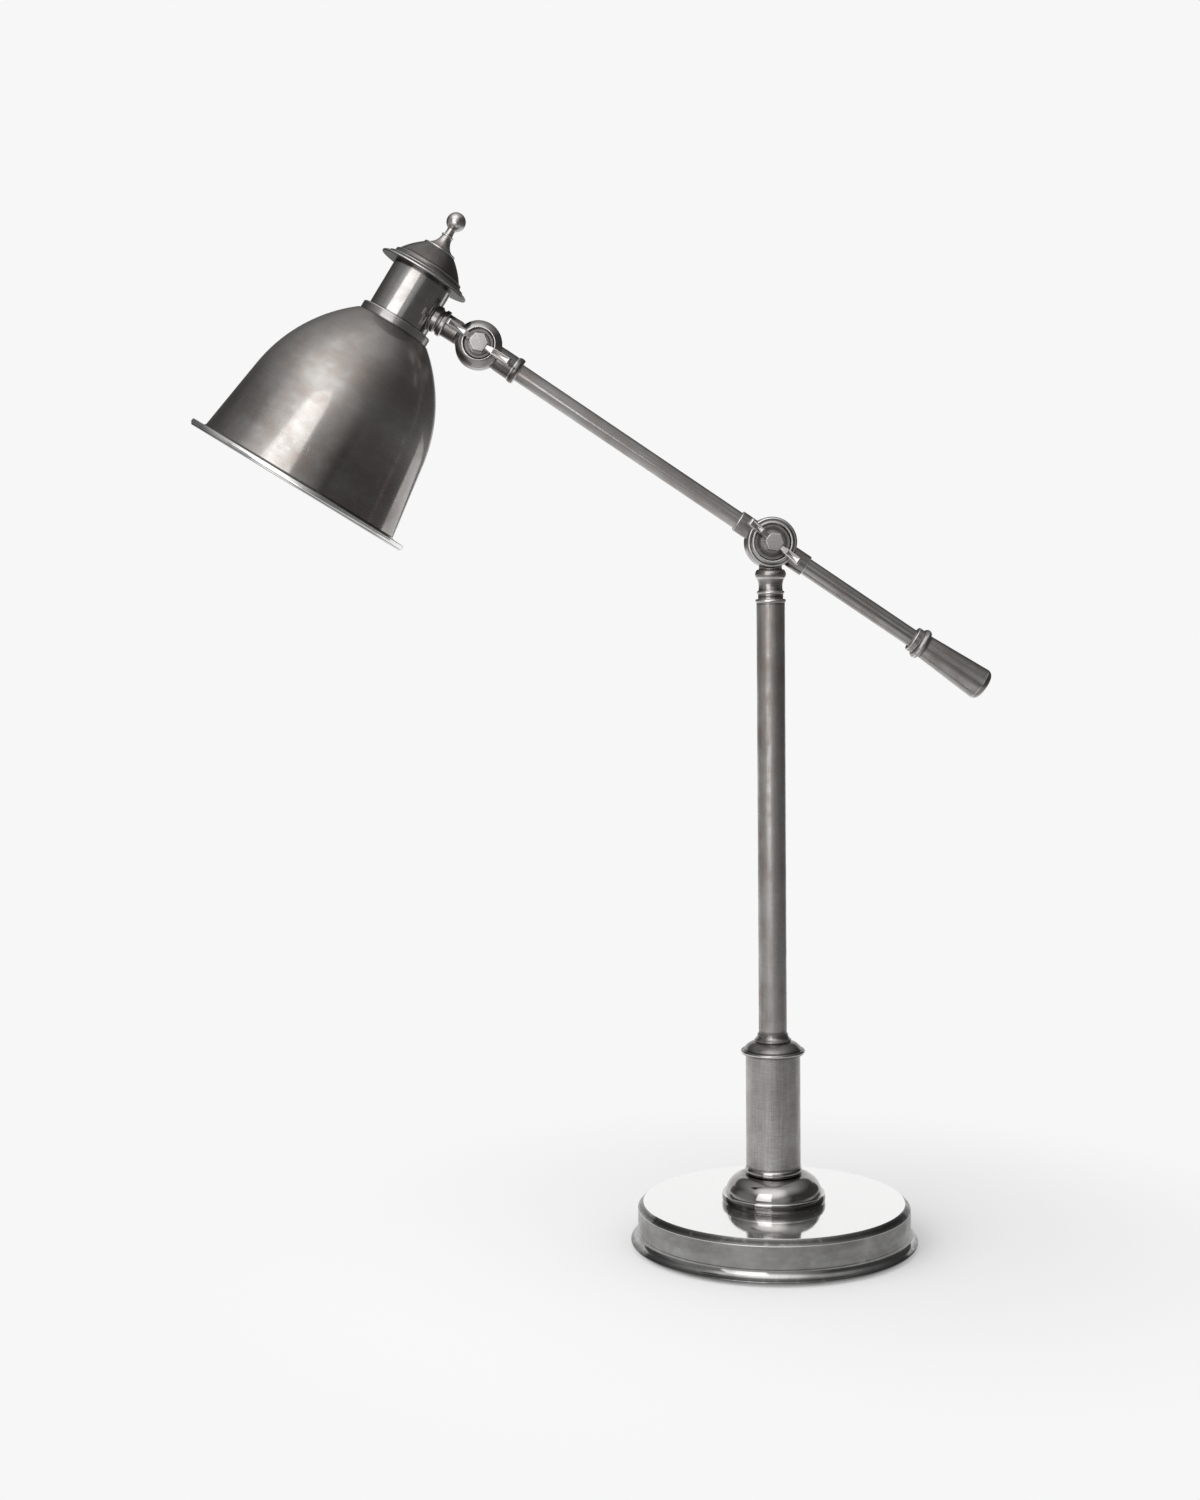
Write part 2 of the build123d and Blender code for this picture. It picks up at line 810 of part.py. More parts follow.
def make_head_stem():
    """Head's half of the knuckle, with a stem and a threaded spigot into the neck."""
    body = turned([
        (wire_bore_r, stem_spigot_end),
        (stem_spigot_r, stem_spigot_end),
        (stem_spigot_r, stem_flange_top),
        (stem_r, stem_flange_top),
        (stem_r, stem_end),
        (wire_bore_r, stem_end),
    ], stem_plane)
    web_start = stem_end - stem_length / 2
    web = half_web(stem_r, pivot_offset - web_start, rear_face, stem_plane, web_start, 1)
    rear_plane = knuckle_rear_plane(head_pivot)
    knuckle = body + web + half_disc(head_knuckle_r, rear_face, rear_plane)
    return drill_screw_hole(knuckle, rear_plane)


def make_stem_flange():
    """Ring between the stem and the neck, hollowed to sit on the round neck."""
    blank = ring(stem_hole_r, stem_flange_r, 0, stem_flange_top, stem_plane)
    return blank - rod(neck_r, shade_height, neck_top_u, head_plane)


def make_stem_saddle_washer():
    """Washer inside the neck, round on the side that meets the wall."""
    blank = ring(stem_hole_r, saddle_washer_r, saddle_washer_flat, neck_r, stem_plane)
    return blank & rod(neck_inner_r, shade_height, neck_top_u, head_plane)


def make_stem_lock_nut():
    """Nut that holds the stem inside the neck."""
    low = saddle_washer_flat - lock_nut_height
    return hex_nut(lock_nut_flats, stem_hole_r, low, saddle_washer_flat, stem_plane)


def make_neck_sleeve():
    """Tube between the shade and the vent cap, with a hole for the stem."""
    tube = ring(neck_inner_r, neck_r, shade_height, neck_top_u, head_plane)
    return tube - rod(stem_hole_r, 0, neck_r + cut_overrun, stem_plane)


def make_shade_collar():
    """Ring round the neck's foot."""
    return turned([
        (neck_r + slip_fit, shade_height),
        (shade_collar_r, shade_height),
        (shade_collar_r, collar_top_u - shade_collar_edge),
        (shade_collar_r - shade_collar_edge, collar_top_u, shade_collar_edge * quarter_round_share),
        (neck_r + slip_fit, collar_top_u),
    ], head_plane)


def make_shade():
    """Spun bell: flat top, one large dome arc, slightly flared wall, rolled brim."""
    wall_angle = math.atan2(shade_flare, shade_wall_height)
    out_r = math.cos(wall_angle)
    out_u = math.sin(wall_angle)
    in_reach = (shade_hip_r - shade_top_r) * out_r - shade_dome_height * out_u
    dome_r = math.dist((shade_hip_r, shade_hip_height), (shade_top_r, shade_height))**2 / (2 * in_reach)
    centre_r = shade_hip_r - dome_r * out_r
    centre_u = shade_hip_height - dome_r * out_u

    def skin(inset):
        """Corners of the bell's skin, moved inwards by an inset: top edge, hip and foot."""
        radius = dome_r - inset
        top_u = shade_height - inset
        top_r = centre_r + math.sqrt(radius**2 - (top_u - centre_u)**2)
        hip = (centre_r + radius * out_r, centre_u + radius * out_u)
        foot = (shade_foot_r - inset * out_r, shade_foot_height - inset * out_u)
        chord = math.dist((top_r, top_u), hip)
        bow = radius - math.sqrt(radius**2 - (chord / 2)**2)
        return (top_r, top_u), hip, foot, bow

    top, hip, foot, bow = skin(0)
    inner_top, inner_hip, inner_foot, inner_bow = skin(shade_wall)
    bead_r = shade_foot_r + brim_width - brim_bead_r
    return turned([
        inner_foot,
        (bead_r, brim_bead_height - brim_bead_r, brim_flare_bow),
        (bead_r, brim_bead_height + brim_bead_r, brim_bead_r),
        (foot[0], foot[1], -brim_flare_bow),
        hip,
        (top[0], top[1], bow),
        (shade_hole_r, shade_height),
        (shade_hole_r, shade_height - shade_wall),
        inner_top,
        (inner_hip[0], inner_hip[1], -inner_bow),
    ], head_plane)


def make_vent_cap():
    """Flared and domed cap on the neck's top."""
    spigot_r = neck_inner_r - slip_fit
    cavity_r = spigot_r - vent_wall
    dome_r = vent_step_r - vent_step
    roof_u = vent_top_u - vent_wall
    return turned([
        (cavity_r, neck_top_u - vent_spigot_height),
        (spigot_r, neck_top_u - vent_spigot_height),
        (spigot_r, neck_top_u),
        (vent_rim_r, neck_top_u),
        (vent_rim_r, vent_rim_top_u, vent_rim_bow),
        (vent_step_r, vent_flare_top_u, -vent_flare_bow),
        (dome_r, vent_step_top_u),
        (vent_top_r, vent_top_u, vent_dome_bow),
        (finial_stud_r + slip_fit, vent_top_u),
        (finial_stud_r + slip_fit, roof_u),
        (vent_top_r - vent_wall, roof_u),
        (cavity_r, vent_step_top_u, -vent_dome_bow),
    ], head_plane)


def make_finial():
    """Ball finial whose stud screws into the nipple and clamps the head together."""
    base_top = vent_top_u + finial_base_height
    cone_top = base_top + finial_cone_height
    ball_low = cone_top + finial_neck_height
    ball_centre = ball_low + math.sqrt(finial_ball_r**2 - finial_neck_r**2)
    equator = (finial_ball_r, ball_centre)
    upper_bow = finial_ball_r * quarter_round_share
    lower_chord = math.dist((finial_neck_r, ball_low), equator)
    lower_bow = finial_ball_r - math.sqrt(finial_ball_r**2 - (lower_chord / 2)**2)
    return turned([
        (0, vent_top_u - finial_stud_length),
        (finial_stud_r, vent_top_u - finial_stud_length),
        (finial_stud_r, vent_top_u),
        (finial_base_r, vent_top_u),
        (finial_base_r, base_top, finial_base_bow),
        (finial_cone_r, base_top),
        (finial_waist_r, cone_top, -finial_cone_bow),
        (finial_neck_r, ball_low),
        (finial_ball_r, ball_centre, lower_bow),
        (0, ball_centre + finial_ball_r, upper_bow),
    ], head_plane)


def make_holder_nipple():
    """Hollow nipple from the lamp holder up to the finial, with a side hole for the wires."""
    tube = ring(nipple_bore_r, nipple_r, insulator_top_u, nipple_top_u, head_plane)
    return tube - rod(wire_bore_r, 0, nipple_r + cut_overrun, stem_plane)


def make_lamp_holder():
    """Moulded holder body under the shade's top."""
    cavity_r = shell_r + slip_fit
    holder_r = holder_shoulder_r + holder_ring_step
    return turned([
        (cavity_r, holder_low_u),
        (holder_r, holder_low_u),
        (holder_r, holder_low_u + holder_ring_height),
        (holder_shoulder_r, holder_low_u + holder_ring_height),
        (holder_shoulder_r, holder_top_u),
        (nipple_hole_r, holder_top_u),
        (nipple_hole_r, insulator_top_u),
        (cavity_r, insulator_top_u),
    ], head_plane)


def make_holder_insulator():
    """Moulded disc with a pocket for the centre contact and two wire holes."""
    disc = turned([
        (contact_pocket_r, insulator_low_u),
        (shell_r, insulator_low_u),
        (shell_r, insulator_top_u),
        (rivet_r + slip_fit, insulator_top_u),
        (rivet_r + slip_fit, contact_seat_u),
        (contact_pocket_r, contact_seat_u),
    ], head_plane)
    for side in (-1, 1):
        place = head_plane * Pos(side * (contact_pocket_r + shell_r) / 2, 0, 0)
        disc -= place * rod(insulator_hole_r, insulator_low_u - cut_overrun, insulator_top_u + cut_overrun)
    return disc


def make_holder_shell():
    """Screw shell that takes the lamp's cap."""
    return ring(lamp_thread_r, shell_r, shell_low_u, insulator_low_u, head_plane)


def make_centre_contact():
    """Riveted contact in the insulator's pocket."""
    low = contact_seat_u - contact_height
    return turned([
        (0, low - contact_bow),
        (contact_r, low, contact_bow / 2),
        (contact_r, contact_seat_u),
        (rivet_r, contact_seat_u),
        (rivet_r, insulator_top_u),
        (0, insulator_top_u),
    ], head_plane)


makers = {
    "base_shell": make_base_shell,
    "base_weight": make_base_weight,
    "base_felt": make_base_felt,
    "cord_grommet": make_cord_grommet,
    "tie_rod": make_tie_rod,
    "base_washer": make_base_washer,
    "base_nut": make_base_nut,
    "column_foot": make_column_foot,
    "column_sleeve": make_column_sleeve,
    "column_cap": make_column_cap,
    "post_tube": make_post_tube,
    "post_plug": make_post_plug,
    "post_ferrule": make_post_ferrule,
    "post_friction_washer": make_post_friction_washer,
    "post_knuckle_nut": make_post_knuckle_nut,
    "post_wing_screw": make_post_wing_screw,
    "arm_knuckle": make_arm_knuckle,
    "arm_knuckle_cup": make_arm_knuckle_cup,
    "arm_tube_front": make_arm_tube_front,
    "arm_tube_rear": make_arm_tube_rear,
    "counterweight_collar": make_counterweight_collar,
    "counterweight": make_counterweight,
    "arm_end_knuckle": make_arm_end_knuckle,
    "head_knuckle_cup": make_head_knuckle_cup,
    "head_friction_washer": make_head_friction_washer,
    "head_knuckle_nut": make_head_knuckle_nut,
    "head_wing_screw": make_head_wing_screw,
    "head_stem": make_head_stem,
    "stem_flange": make_stem_flange,
    "stem_saddle_washer": make_stem_saddle_washer,
    "stem_lock_nut": make_stem_lock_nut,
    "neck_sleeve": make_neck_sleeve,
    "shade_collar": make_shade_collar,
    "shade": make_shade,
    "vent_cap": make_vent_cap,
    "finial": make_finial,
    "holder_nipple": make_holder_nipple,
    "lamp_holder": make_lamp_holder,
    "holder_insulator": make_holder_insulator,
    "holder_shell": make_holder_shell,
    "centre_contact": make_centre_contact,
}

os.makedirs("parts", exist_ok=True)
for node, make in makers.items():
    export_step(make(), f"parts/{node}.step")
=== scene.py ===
import json
import math
from functools import partialmethod

import bmesh
import bpy
from bpy.props import FloatProperty, FloatVectorProperty, IntProperty, PointerProperty
from mathutils import Matrix, Vector


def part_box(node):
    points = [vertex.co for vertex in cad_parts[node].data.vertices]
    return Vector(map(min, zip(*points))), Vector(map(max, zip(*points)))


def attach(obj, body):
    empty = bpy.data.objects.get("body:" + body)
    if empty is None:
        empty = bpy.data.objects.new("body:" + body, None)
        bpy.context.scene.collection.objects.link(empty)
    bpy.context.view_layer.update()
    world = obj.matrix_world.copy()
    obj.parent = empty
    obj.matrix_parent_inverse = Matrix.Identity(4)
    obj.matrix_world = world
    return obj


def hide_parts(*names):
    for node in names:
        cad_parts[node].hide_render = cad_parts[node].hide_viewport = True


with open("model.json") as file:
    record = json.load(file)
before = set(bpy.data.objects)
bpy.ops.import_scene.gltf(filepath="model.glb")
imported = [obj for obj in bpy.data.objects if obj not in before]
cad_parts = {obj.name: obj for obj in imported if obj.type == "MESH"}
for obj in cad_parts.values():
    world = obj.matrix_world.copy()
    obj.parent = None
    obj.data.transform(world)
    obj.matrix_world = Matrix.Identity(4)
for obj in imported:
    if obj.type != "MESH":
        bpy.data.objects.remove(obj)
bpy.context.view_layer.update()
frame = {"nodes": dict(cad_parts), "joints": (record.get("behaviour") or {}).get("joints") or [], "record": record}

bl_info = {
    "name": "Boom desk lamp",
    "version": (1, 0, 0),
    "blender": (4, 5, 0),
    "location": "3D View > Sidebar > Lamp",
    "description": "Builds the pieces, finishes and stage of a desk lamp with a tilting boom arm",
    "category": "Object",
}

MM = 0.001
FULL_TURN = 2 * math.pi

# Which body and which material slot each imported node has
BODY_OF = {n: body for body, nodes in frame["record"]["behaviour"]["bodies"].items() for n in nodes}
SLOT_OF = {s["node"]: s["material_slot"] for s in frame["record"]["subparts"]}


# Places of the lamp's own axes


def joint_place(name):
    """Pivot of a joint, in metres."""
    return Vector(next(j["pos_m"] for j in frame["joints"] if j["name"] == name))


def axes(origin, up, side):
    """Matrix of a set of axes: Z goes up along a piece, X to its side."""
    turn = Matrix((side, up.cross(side), up)).transposed().to_4x4()
    return Matrix.Translation(origin) @ turn


UP = Vector((0, 0, 1))
REAR = Vector((0, 1, 0))
FRONT = Vector((0, -1, 0))
HEAD_LEAN = math.radians(32)
HEAD_UP = Vector((math.sin(HEAD_LEAN), 0, math.cos(HEAD_LEAN)))
HEAD_OUT = Vector((math.cos(HEAD_LEAN), 0, -math.sin(HEAD_LEAN)))
POST_PIVOT = joint_place("arm_tilt")
HEAD_PIVOT = joint_place("head_tilt")
ARM_WAY = (HEAD_PIVOT - POST_PIVOT).normalized()
STEM_OFFSET = 45.5
STEM_HEIGHT = 119.0
STEM_ROOT = HEAD_PIVOT - HEAD_OUT * STEM_OFFSET * MM
MOUTH = STEM_ROOT - HEAD_UP * STEM_HEIGHT * MM

STAND = Matrix.Identity(4)
POST = axes(Vector((0, 0, 0)), UP, REAR)
HEAD = axes(MOUTH, HEAD_UP, HEAD_OUT)
STEM = axes(STEM_ROOT, HEAD_OUT, REAR)
ARM_FRONT = axes(POST_PIVOT, ARM_WAY, REAR)
ARM_REAR = axes(POST_PIVOT, -ARM_WAY, REAR)
ARM_END = axes(HEAD_PIVOT, -ARM_WAY, REAR)
POST_FRONT = axes(POST_PIVOT, FRONT, ARM_WAY)
POST_REAR = axes(POST_PIVOT, REAR, ARM_WAY)
HEAD_FRONT = axes(HEAD_PIVOT, FRONT, ARM_WAY)
HEAD_REAR = axes(HEAD_PIVOT, REAR, ARM_WAY)


# Sizes and colours that a user would change


def length(name, description, size, least=0.0):
    """A length that a user would change, given in millimetres."""
    return FloatProperty(name=name, description=description, default=size * MM, min=least * MM,
                         subtype="DISTANCE", unit="LENGTH")


def colour(name, description, value):
    """A colour that a user would change."""
    return FloatVectorProperty(name=name, description=description, default=value, size=3, min=0.0, max=1.0,
                               subtype="COLOR")


def brightness(name, place, level):
    """A brightness of the stage that a user would change."""
    return FloatProperty(name=name, description=f"Brightness of the {place}", default=level, min=0.0)


class LampSizes(bpy.types.PropertyGroup):
    """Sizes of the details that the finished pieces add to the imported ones."""

    edge: length("Turned edge", "Width of the rounding on turned edges", 0.35)
    fine_edge: length("Fine edge", "Width of the rounding on the smallest edges", 0.18)
    large_steps: IntProperty(
        name="Large steps", description="Facets round the base and the shade", default=224, min=48)
    small_steps: IntProperty(
        name="Small steps", description="Facets round the thin pieces", default=112, min=24)
    thread_pitch: length("Thread pitch", "Rise of one turn of the lamp holder's thread", 3.63, 1.0)
    thread_depth: length("Thread depth", "Depth of the lamp holder's thread", 0.55)


class LampFinish(bpy.types.PropertyGroup):
    """Colours of the lamp's finishes."""

    silver: colour("Silver", "Colour of clean silver plate", (0.47, 0.457, 0.446))
    patina: colour("Patina", "Colour of darkened silver plate", (0.212, 0.193, 0.181))
    brown: colour("Brown", "Warm tint in the oldest patina", (0.24, 0.192, 0.168))
    # Besides the polished top, the mirror colour paints the highlight bands; a dark share of the patina colour
    # paints the shade bands
    mirror: colour("Mirror", "Colour of the base's polished top", (0.89, 0.888, 0.885))
    iron: colour("Iron", "Colour of the cast weight", (0.09, 0.088, 0.085))
    felt: colour("Felt", "Colour of the felt under the base", (0.035, 0.04, 0.036))
    rubber: colour("Rubber", "Colour of the cord outlet's bush", (0.018, 0.018, 0.018))
    steel: colour("Steel", "Colour of the hidden plated steel pieces", (0.52, 0.52, 0.53))
    fibre: colour("Fibre", "Colour of the friction washers", (0.16, 0.085, 0.05))
    moulded: colour("Moulding", "Colour of the lamp holder's body", (0.02, 0.018, 0.017))
    ceramic: colour("Insulator", "Colour of the lamp holder's insulator", (0.76, 0.74, 0.69))
    brass: colour("Brass", "Colour of the lamp holder's contacts", (0.72, 0.53, 0.25))


class LampStage(bpy.types.PropertyGroup):
    """Camera, floor and lights."""

    lens: FloatProperty(
        name="Lens", description="Focal length of the camera in millimetres", default=50.813, min=10.0)
    backdrop: FloatProperty(
        name="Backdrop", description="Brightness of the background, where 1 is white",
        default=0.93, min=0.0, max=1.0)
    room: brightness("Room", "dim room in front of the lamp", 0.09)
    glow: brightness("Glow", "soft glow straight in front of the lamp", 0.45)
    lift: brightness("Lift", "broad glow above the key light", 1.1)
    fill: brightness("Fill", "even light from all round", 0.72)
    key: brightness("Key light", "tall soft light at the front left", 1.75)


# Shader sums


class Value:
    """A socket of a shader that adds Math nodes where it stands in a sum."""

    def __init__(self, finish, socket):
        self.finish = finish
        self.socket = socket

    def sum(self, operation, other, turned=False):
        """This value and another one in a Math node, the other one first if the sum is turned."""
        pair = {0: other, 1: self} if turned else {0: self, 1: other}
        return self.finish.node("ShaderNodeMath", {"operation": operation}, pair)

    __add__ = partialmethod(sum, "ADD")
    __radd__ = partialmethod(sum, "ADD", turned=True)
    __sub__ = partialmethod(sum, "SUBTRACT")
    __rsub__ = partialmethod(sum, "SUBTRACT", turned=True)
    __mul__ = partialmethod(sum, "MULTIPLY")
    __rmul__ = partialmethod(sum, "MULTIPLY", turned=True)
    __truediv__ = partialmethod(sum, "DIVIDE")
    __pow__ = partialmethod(sum, "POWER")

    def __abs__(self):
        return self.finish.node("ShaderNodeMath", {"operation": "ABSOLUTE"}, {0: self})


WHITE = (1.0, 1.0, 1.0, 1.0)


class Finish:
    """One node tree, of a material or of the world."""

    def __init__(self, owner):
        self.owner = owner
        owner.use_nodes = True
        self.tree = owner.node_tree
        self.tree.nodes.clear()

    def node(self, kind, settings=None, sockets=None, out=0):
        """Add a node: its settings first, then the values or links of its sockets."""
        made = self.tree.nodes.new(kind)
        for key, value in (settings or {}).items():
            setattr(made, key, value)
        for key, value in (sockets or {}).items():
            if isinstance(value, Value):
                self.tree.links.new(value.socket, made.inputs[key])
            else:
                made.inputs[key].default_value = value
        return Value(self, made.outputs[out]) if made.outputs else made

    def local(self, place):
        """A piece's own coordinates in millimetres, with Z along its axis."""
        coords = self.node("ShaderNodeTexCoord", out="Object")
        return self.node("ShaderNodeMapping", {"vector_type": "TEXTURE"}, {
            "Vector": coords,
            "Location": place.translation,
            "Rotation": place.to_euler(),
            "Scale": (MM, MM, MM),
        })

    def split(self, vector):
        """The three parts of a vector."""
        made = self.node("ShaderNodeSeparateXYZ", None, {0: vector})
        outputs = made.socket.node.outputs
        return [Value(self, outputs[i]) for i in range(3)]

    def join(self, x, y, z):
        """A vector of three values."""
        return self.node("ShaderNodeCombineXYZ", None, {0: x, 1: y, 2: z})

    def noise(self, vector, scale, detail=3.0, roughness=0.55):
        """Cloudy noise from 0 to 1."""
        return self.node("ShaderNodeTexNoise", None, {
            "Vector": vector, "Scale": scale, "Detail": detail, "Roughness": roughness})

    def ease(self, value, low, high, start=0.0, end=1.0):
        """Smooth step from start at low to end at high."""
        return self.node("ShaderNodeMapRange", {"interpolation_type": "SMOOTHSTEP"}, {
            0: value, 1: low, 2: high, 3: start, 4: end})

    def mix(self, share, first, second):
        """Blend of two colours."""
        first, second = [c if isinstance(c, Value) else (*c, 1.0) for c in (first, second)]
        return self.node("ShaderNodeMix", {"data_type": "RGBA"}, {0: share, 6: first, 7: second}, out=2)

    def bump(self, height, strength, depth):
        """Surface normal from a height."""
        return self.node("ShaderNodeBump", None, {
            "Height": height, "Strength": strength, "Distance": depth})

    def principled(self, sockets):
        """A Principled shader."""
        return self.node("ShaderNodeBsdfPrincipled", None, sockets)

    def glow(self, strength):
        """White light of a strength."""
        return self.node("ShaderNodeEmission", None, {"Color": WHITE, "Strength": strength})

    def closed(self, shader):
        """Close a material's tree with its shader and return the material."""
        self.node("ShaderNodeOutputMaterial", None, {0: shader})
        return self.owner

    def rays(self):
        """Whether a ray comes from the camera, and whether it comes from a polished face."""
        path = "ShaderNodeLightPath"
        return self.node(path, out="Is Camera Ray"), self.node(path, out="Is Glossy Ray")


# Finishes


def colours():
    """The scene's own colours."""
    return bpy.context.scene.lamp_finish


# tone makes a piece a lighter or darker copy of the one silver: painted light and shade for how light falls on it
def silver(name, place, tone=0.95, patina=0.6, gloss=0.16, haze=0.42, satin=0.5, turned=0.5, drawn=0.0,
           marks=0.25, smudge=0.4, warm=1.0, lines=(), polish=None, mirror=None, seed=0.0):
    """Antique silver plate: a polished and a hazy layer mixed by patina, lathe and draw marks and scuffs.
    Painted light bands are (axis letter, position, half width, amount): a painted highlight in the mirror colour
    where the amount is above 0, painted shade in a dark patina colour where it is below.
    The plate gets smoother down from the upper to the lower polish height.
    Above the mirror height it is clean and bright."""
    look = Finish(bpy.data.materials.new(name))
    spot = look.local(place)
    x, y, z = look.split(spot)
    radius = (x * x + y * y + 0.01) ** 0.5
    side = x / radius
    face = y / radius
    drift = look.node("ShaderNodeVectorMath", {"operation": "ADD"}, {0: spot, 1: (seed, 2 * seed, -seed)})

    around = turned / (turned + drawn)
    cloud = look.noise(drift, 0.028, 4.0, 0.6)
    mottle = look.noise(drift, 0.17, 5.0, 0.65)
    grain = look.noise(drift, 2.4, 2.0, 0.5)
    bands = look.noise(look.join(side * 1.5 + seed, face * 1.5, (z + radius) * 0.10), 1.0, 5.0, 0.62)
    streaks = look.noise(look.join(side * 5.0 + seed, face * 5.0, z * 0.02), 1.0, 5.0, 0.62)
    smear = bands * around + streaks * (1 - around)
    lathe = look.noise(look.join(side * 2.2 + seed, face * 2.2, z * 1.7 + radius * 1.7), 1.0, 3.0, 0.6)
    draw = look.noise(look.join(side * 24.0 + seed, face * 24.0, z * 0.035), 1.0, 3.0, 0.6)
    brush = (lathe - 0.5) * turned + (draw - 0.5) * drawn

    age = look.ease(cloud * 0.42 + smear * 0.40 + mottle * 0.18 + brush * 0.25, 0.38, 0.64)
    scuff = look.noise(look.join(x * 0.9 + z * 0.25, y * 0.9 - z * 0.1, z * 0.07 + x * 0.02), 1.0, 2.0, 0.4)
    scratch = look.ease(abs(scuff - 0.5), 0.012, 0.0) * look.ease(mottle, 0.52, 0.68)

    tint = colours()
    clean, aged, old = [[tone * (sum(c) / 3 + (part - sum(c) / 3) * warm) for part in c]
                        for c in (tint.silver, tint.patina, tint.brown)]
    colour = look.mix(age * patina, clean, look.mix(look.ease(mottle, 0.42, 0.62), aged, old))
    colour = look.mix(scratch * 0.35, colour, [min(1.0, 1.5 * c) for c in clean])
    colour = look.node("ShaderNodeVectorMath", {"operation": "SCALE"}, {0: colour, 3: 1 + brush * marks * 2})
    share = satin + (age + mottle - 1) * smudge + brush * 0.5 + scratch * 0.2
    if polish is not None:
        share = share * look.ease(z, *polish, 0.3, 1.0)

    # Bands of painted highlight and painted shade along the axis or the radius, broken up by the mottle
    for axis, position, half_width, amount in lines:
        along = {"z": z, "r": radius}[axis]
        band = look.ease(abs(along - position), half_width, 0.0)
        # The band's colour: the mirror colour for a painted highlight, a dark patina colour for painted shade
        shade = tint.mirror if amount > 0 else [0.35 * c for c in aged]
        colour = look.mix(band * abs(amount) * look.ease(mottle, 0.1, 0.5), colour, shade)

    sharp = gloss + age * 0.06 + (grain - 0.5) * 0.06
    if mirror is not None:
        clear = look.ease(z, mirror - 0.15, mirror)
        colour = look.mix(clear, colour, tint.mirror)
        share = share * (1 - clear) + clear * 0.12
        sharp = sharp * (1 - clear) + clear * 0.03
    height = brush * 0.5 + grain * 0.10 + cloud * 0.25 - scratch * 0.25
    normal = look.bump(height, 0.10, 0.0003)
    metal = {"Base Color": colour, "Metallic": 1.0, "Normal": normal}
    polished = look.principled({**metal, "Roughness": sharp})
    hazy = look.principled({**metal, "Roughness": haze + brush * 0.2})
    return look.closed(look.node("ShaderNodeMixShader", None, {0: share, 1: polished, 2: hazy}))


def plain(name, colour, rough, scale, depth, metallic=0.0, spread=0.25, sheen=0.0):
    """Inner or matte finish: one colour broken by noise, with a grain of the given scale per millimetre."""
    look = Finish(bpy.data.materials.new(name))
    spot = look.local(STAND)
    grain = look.noise(spot, scale, 4.0, 0.65)
    cloud = look.noise(spot, scale * 0.12, 3.0, 0.5)
    dark = [c * (1 - spread) for c in colour]
    light = [min(1.0, c * (1 + spread)) for c in colour]
    return look.closed(look.principled({
        "Base Color": look.mix(look.ease(cloud * 0.5 + grain * 0.5, 0.3, 0.7), dark, light),
        "Metallic": metallic,
        "Roughness": look.ease(grain, 0.2, 0.8, max(0.05, rough - 0.12), rough + 0.12),
        "Sheen Weight": sheen,
        "Normal": look.bump(grain, 0.5, depth),
    }))


# Modelling: the largest steps of an arc, and the angles at which an edge is rounded or sharp

ARC_STEP_ANGLE = math.radians(7)
ARC_STEP_LENGTH = 3.0
LEAST_ARC_STEPS = 5
ROUNDED_ANGLE = 0.5
SHARP_ANGLE = math.radians(38)
FLAT_WEIGHT = 60
DRILL_STEPS = 97

# Points closer than these are one point: in a turned shell, after a Boolean, in a finished piece, in a thread
SPUN_WELD = 0.001 * MM
BOOLEAN_WELD = 0.002 * MM
PIECE_WELD = 0.004 * MM
THREAD_WELD = 0.02 * MM


def trace(outline):
    """Corners of an outline with its bowed sides as arcs. A third value bows the side that ends there."""
    points = []
    for start, end in zip(outline[-1:] + outline[:-1], outline):
        if len(end) == 3 and end[2]:
            a, b, bow = Vector(start[:2]), Vector(end[:2]), end[2]
            chord = b - a
            out = Vector((chord.y, -chord.x)).normalized()
            radius = (chord.length_squared / 4 + bow * bow) / (2 * abs(bow))
            centre = (a + b) / 2 + out * (bow - math.copysign(radius, bow))
            reach = a - centre
            sweep = 2 * math.asin(min(1.0, chord.length / 2 / radius)) * math.copysign(1, bow)
            by_angle = math.ceil(abs(sweep) / ARC_STEP_ANGLE)
            by_length = math.ceil(radius * abs(sweep) / ARC_STEP_LENGTH)
            count = max(LEAST_ARC_STEPS, by_angle, by_length)
            for i in range(1, count):
                points.append(centre + Matrix.Rotation(sweep * i / count, 2) @ reach)
        points.append(Vector(end[:2]))
    return points


def rod(radius, low, high):
    """Outline of a plain round bar."""
    return [(0, low), (radius, low), (radius, high), (0, high)]


def placed(bm, place):
    """A shell with its faces turned outwards, moved to its place."""
    bmesh.ops.recalc_face_normals(bm, faces=bm.faces[:])
    bmesh.ops.transform(bm, matrix=place, verts=bm.verts[:])
    return bm


def spun(outline, place, steps=None, edge=None):
    """Closed shell turned about a place's Z axis from an outline in millimetres, with rounded edges.
    It has the steps and the edges of a thin piece unless others are given."""
    sizes = bpy.context.scene.lamp_sizes
    steps = sizes.small_steps if steps is None else steps
    edge = sizes.fine_edge if edge is None else edge
    bm = bmesh.new()
    verts = [bm.verts.new((p.x * MM, 0.0, p.y * MM)) for p in trace(outline)]
    pairs = zip(verts, verts[1:] + verts[:1])
    wires = [bm.edges.new(pair) for pair in pairs if max(v.co.x for v in pair) > 0]
    bmesh.ops.spin(bm, geom=verts + wires, cent=(0, 0, 0), axis=(0, 0, 1), dvec=(0, 0, 0),
                   angle=FULL_TURN, steps=steps, use_merge=True)
    bmesh.ops.remove_doubles(bm, verts=bm.verts[:], dist=SPUN_WELD)
    bmesh.ops.recalc_face_normals(bm, faces=bm.faces[:])
    if edge:
        round_edges(bm, edge)
    return placed(bm, place)


def round_edges(bm, width, segments=2):
    """Bevel every sharp edge."""
    sharp = [e for e in bm.edges if len(e.link_faces) == 2 and e.calc_face_angle() > ROUNDED_ANGLE]
    bmesh.ops.bevel(bm, geom=sharp, offset=width, offset_type="OFFSET", segments=segments, profile=0.5,
                    affect="EDGES", clamp_overlap=True, material=-1)


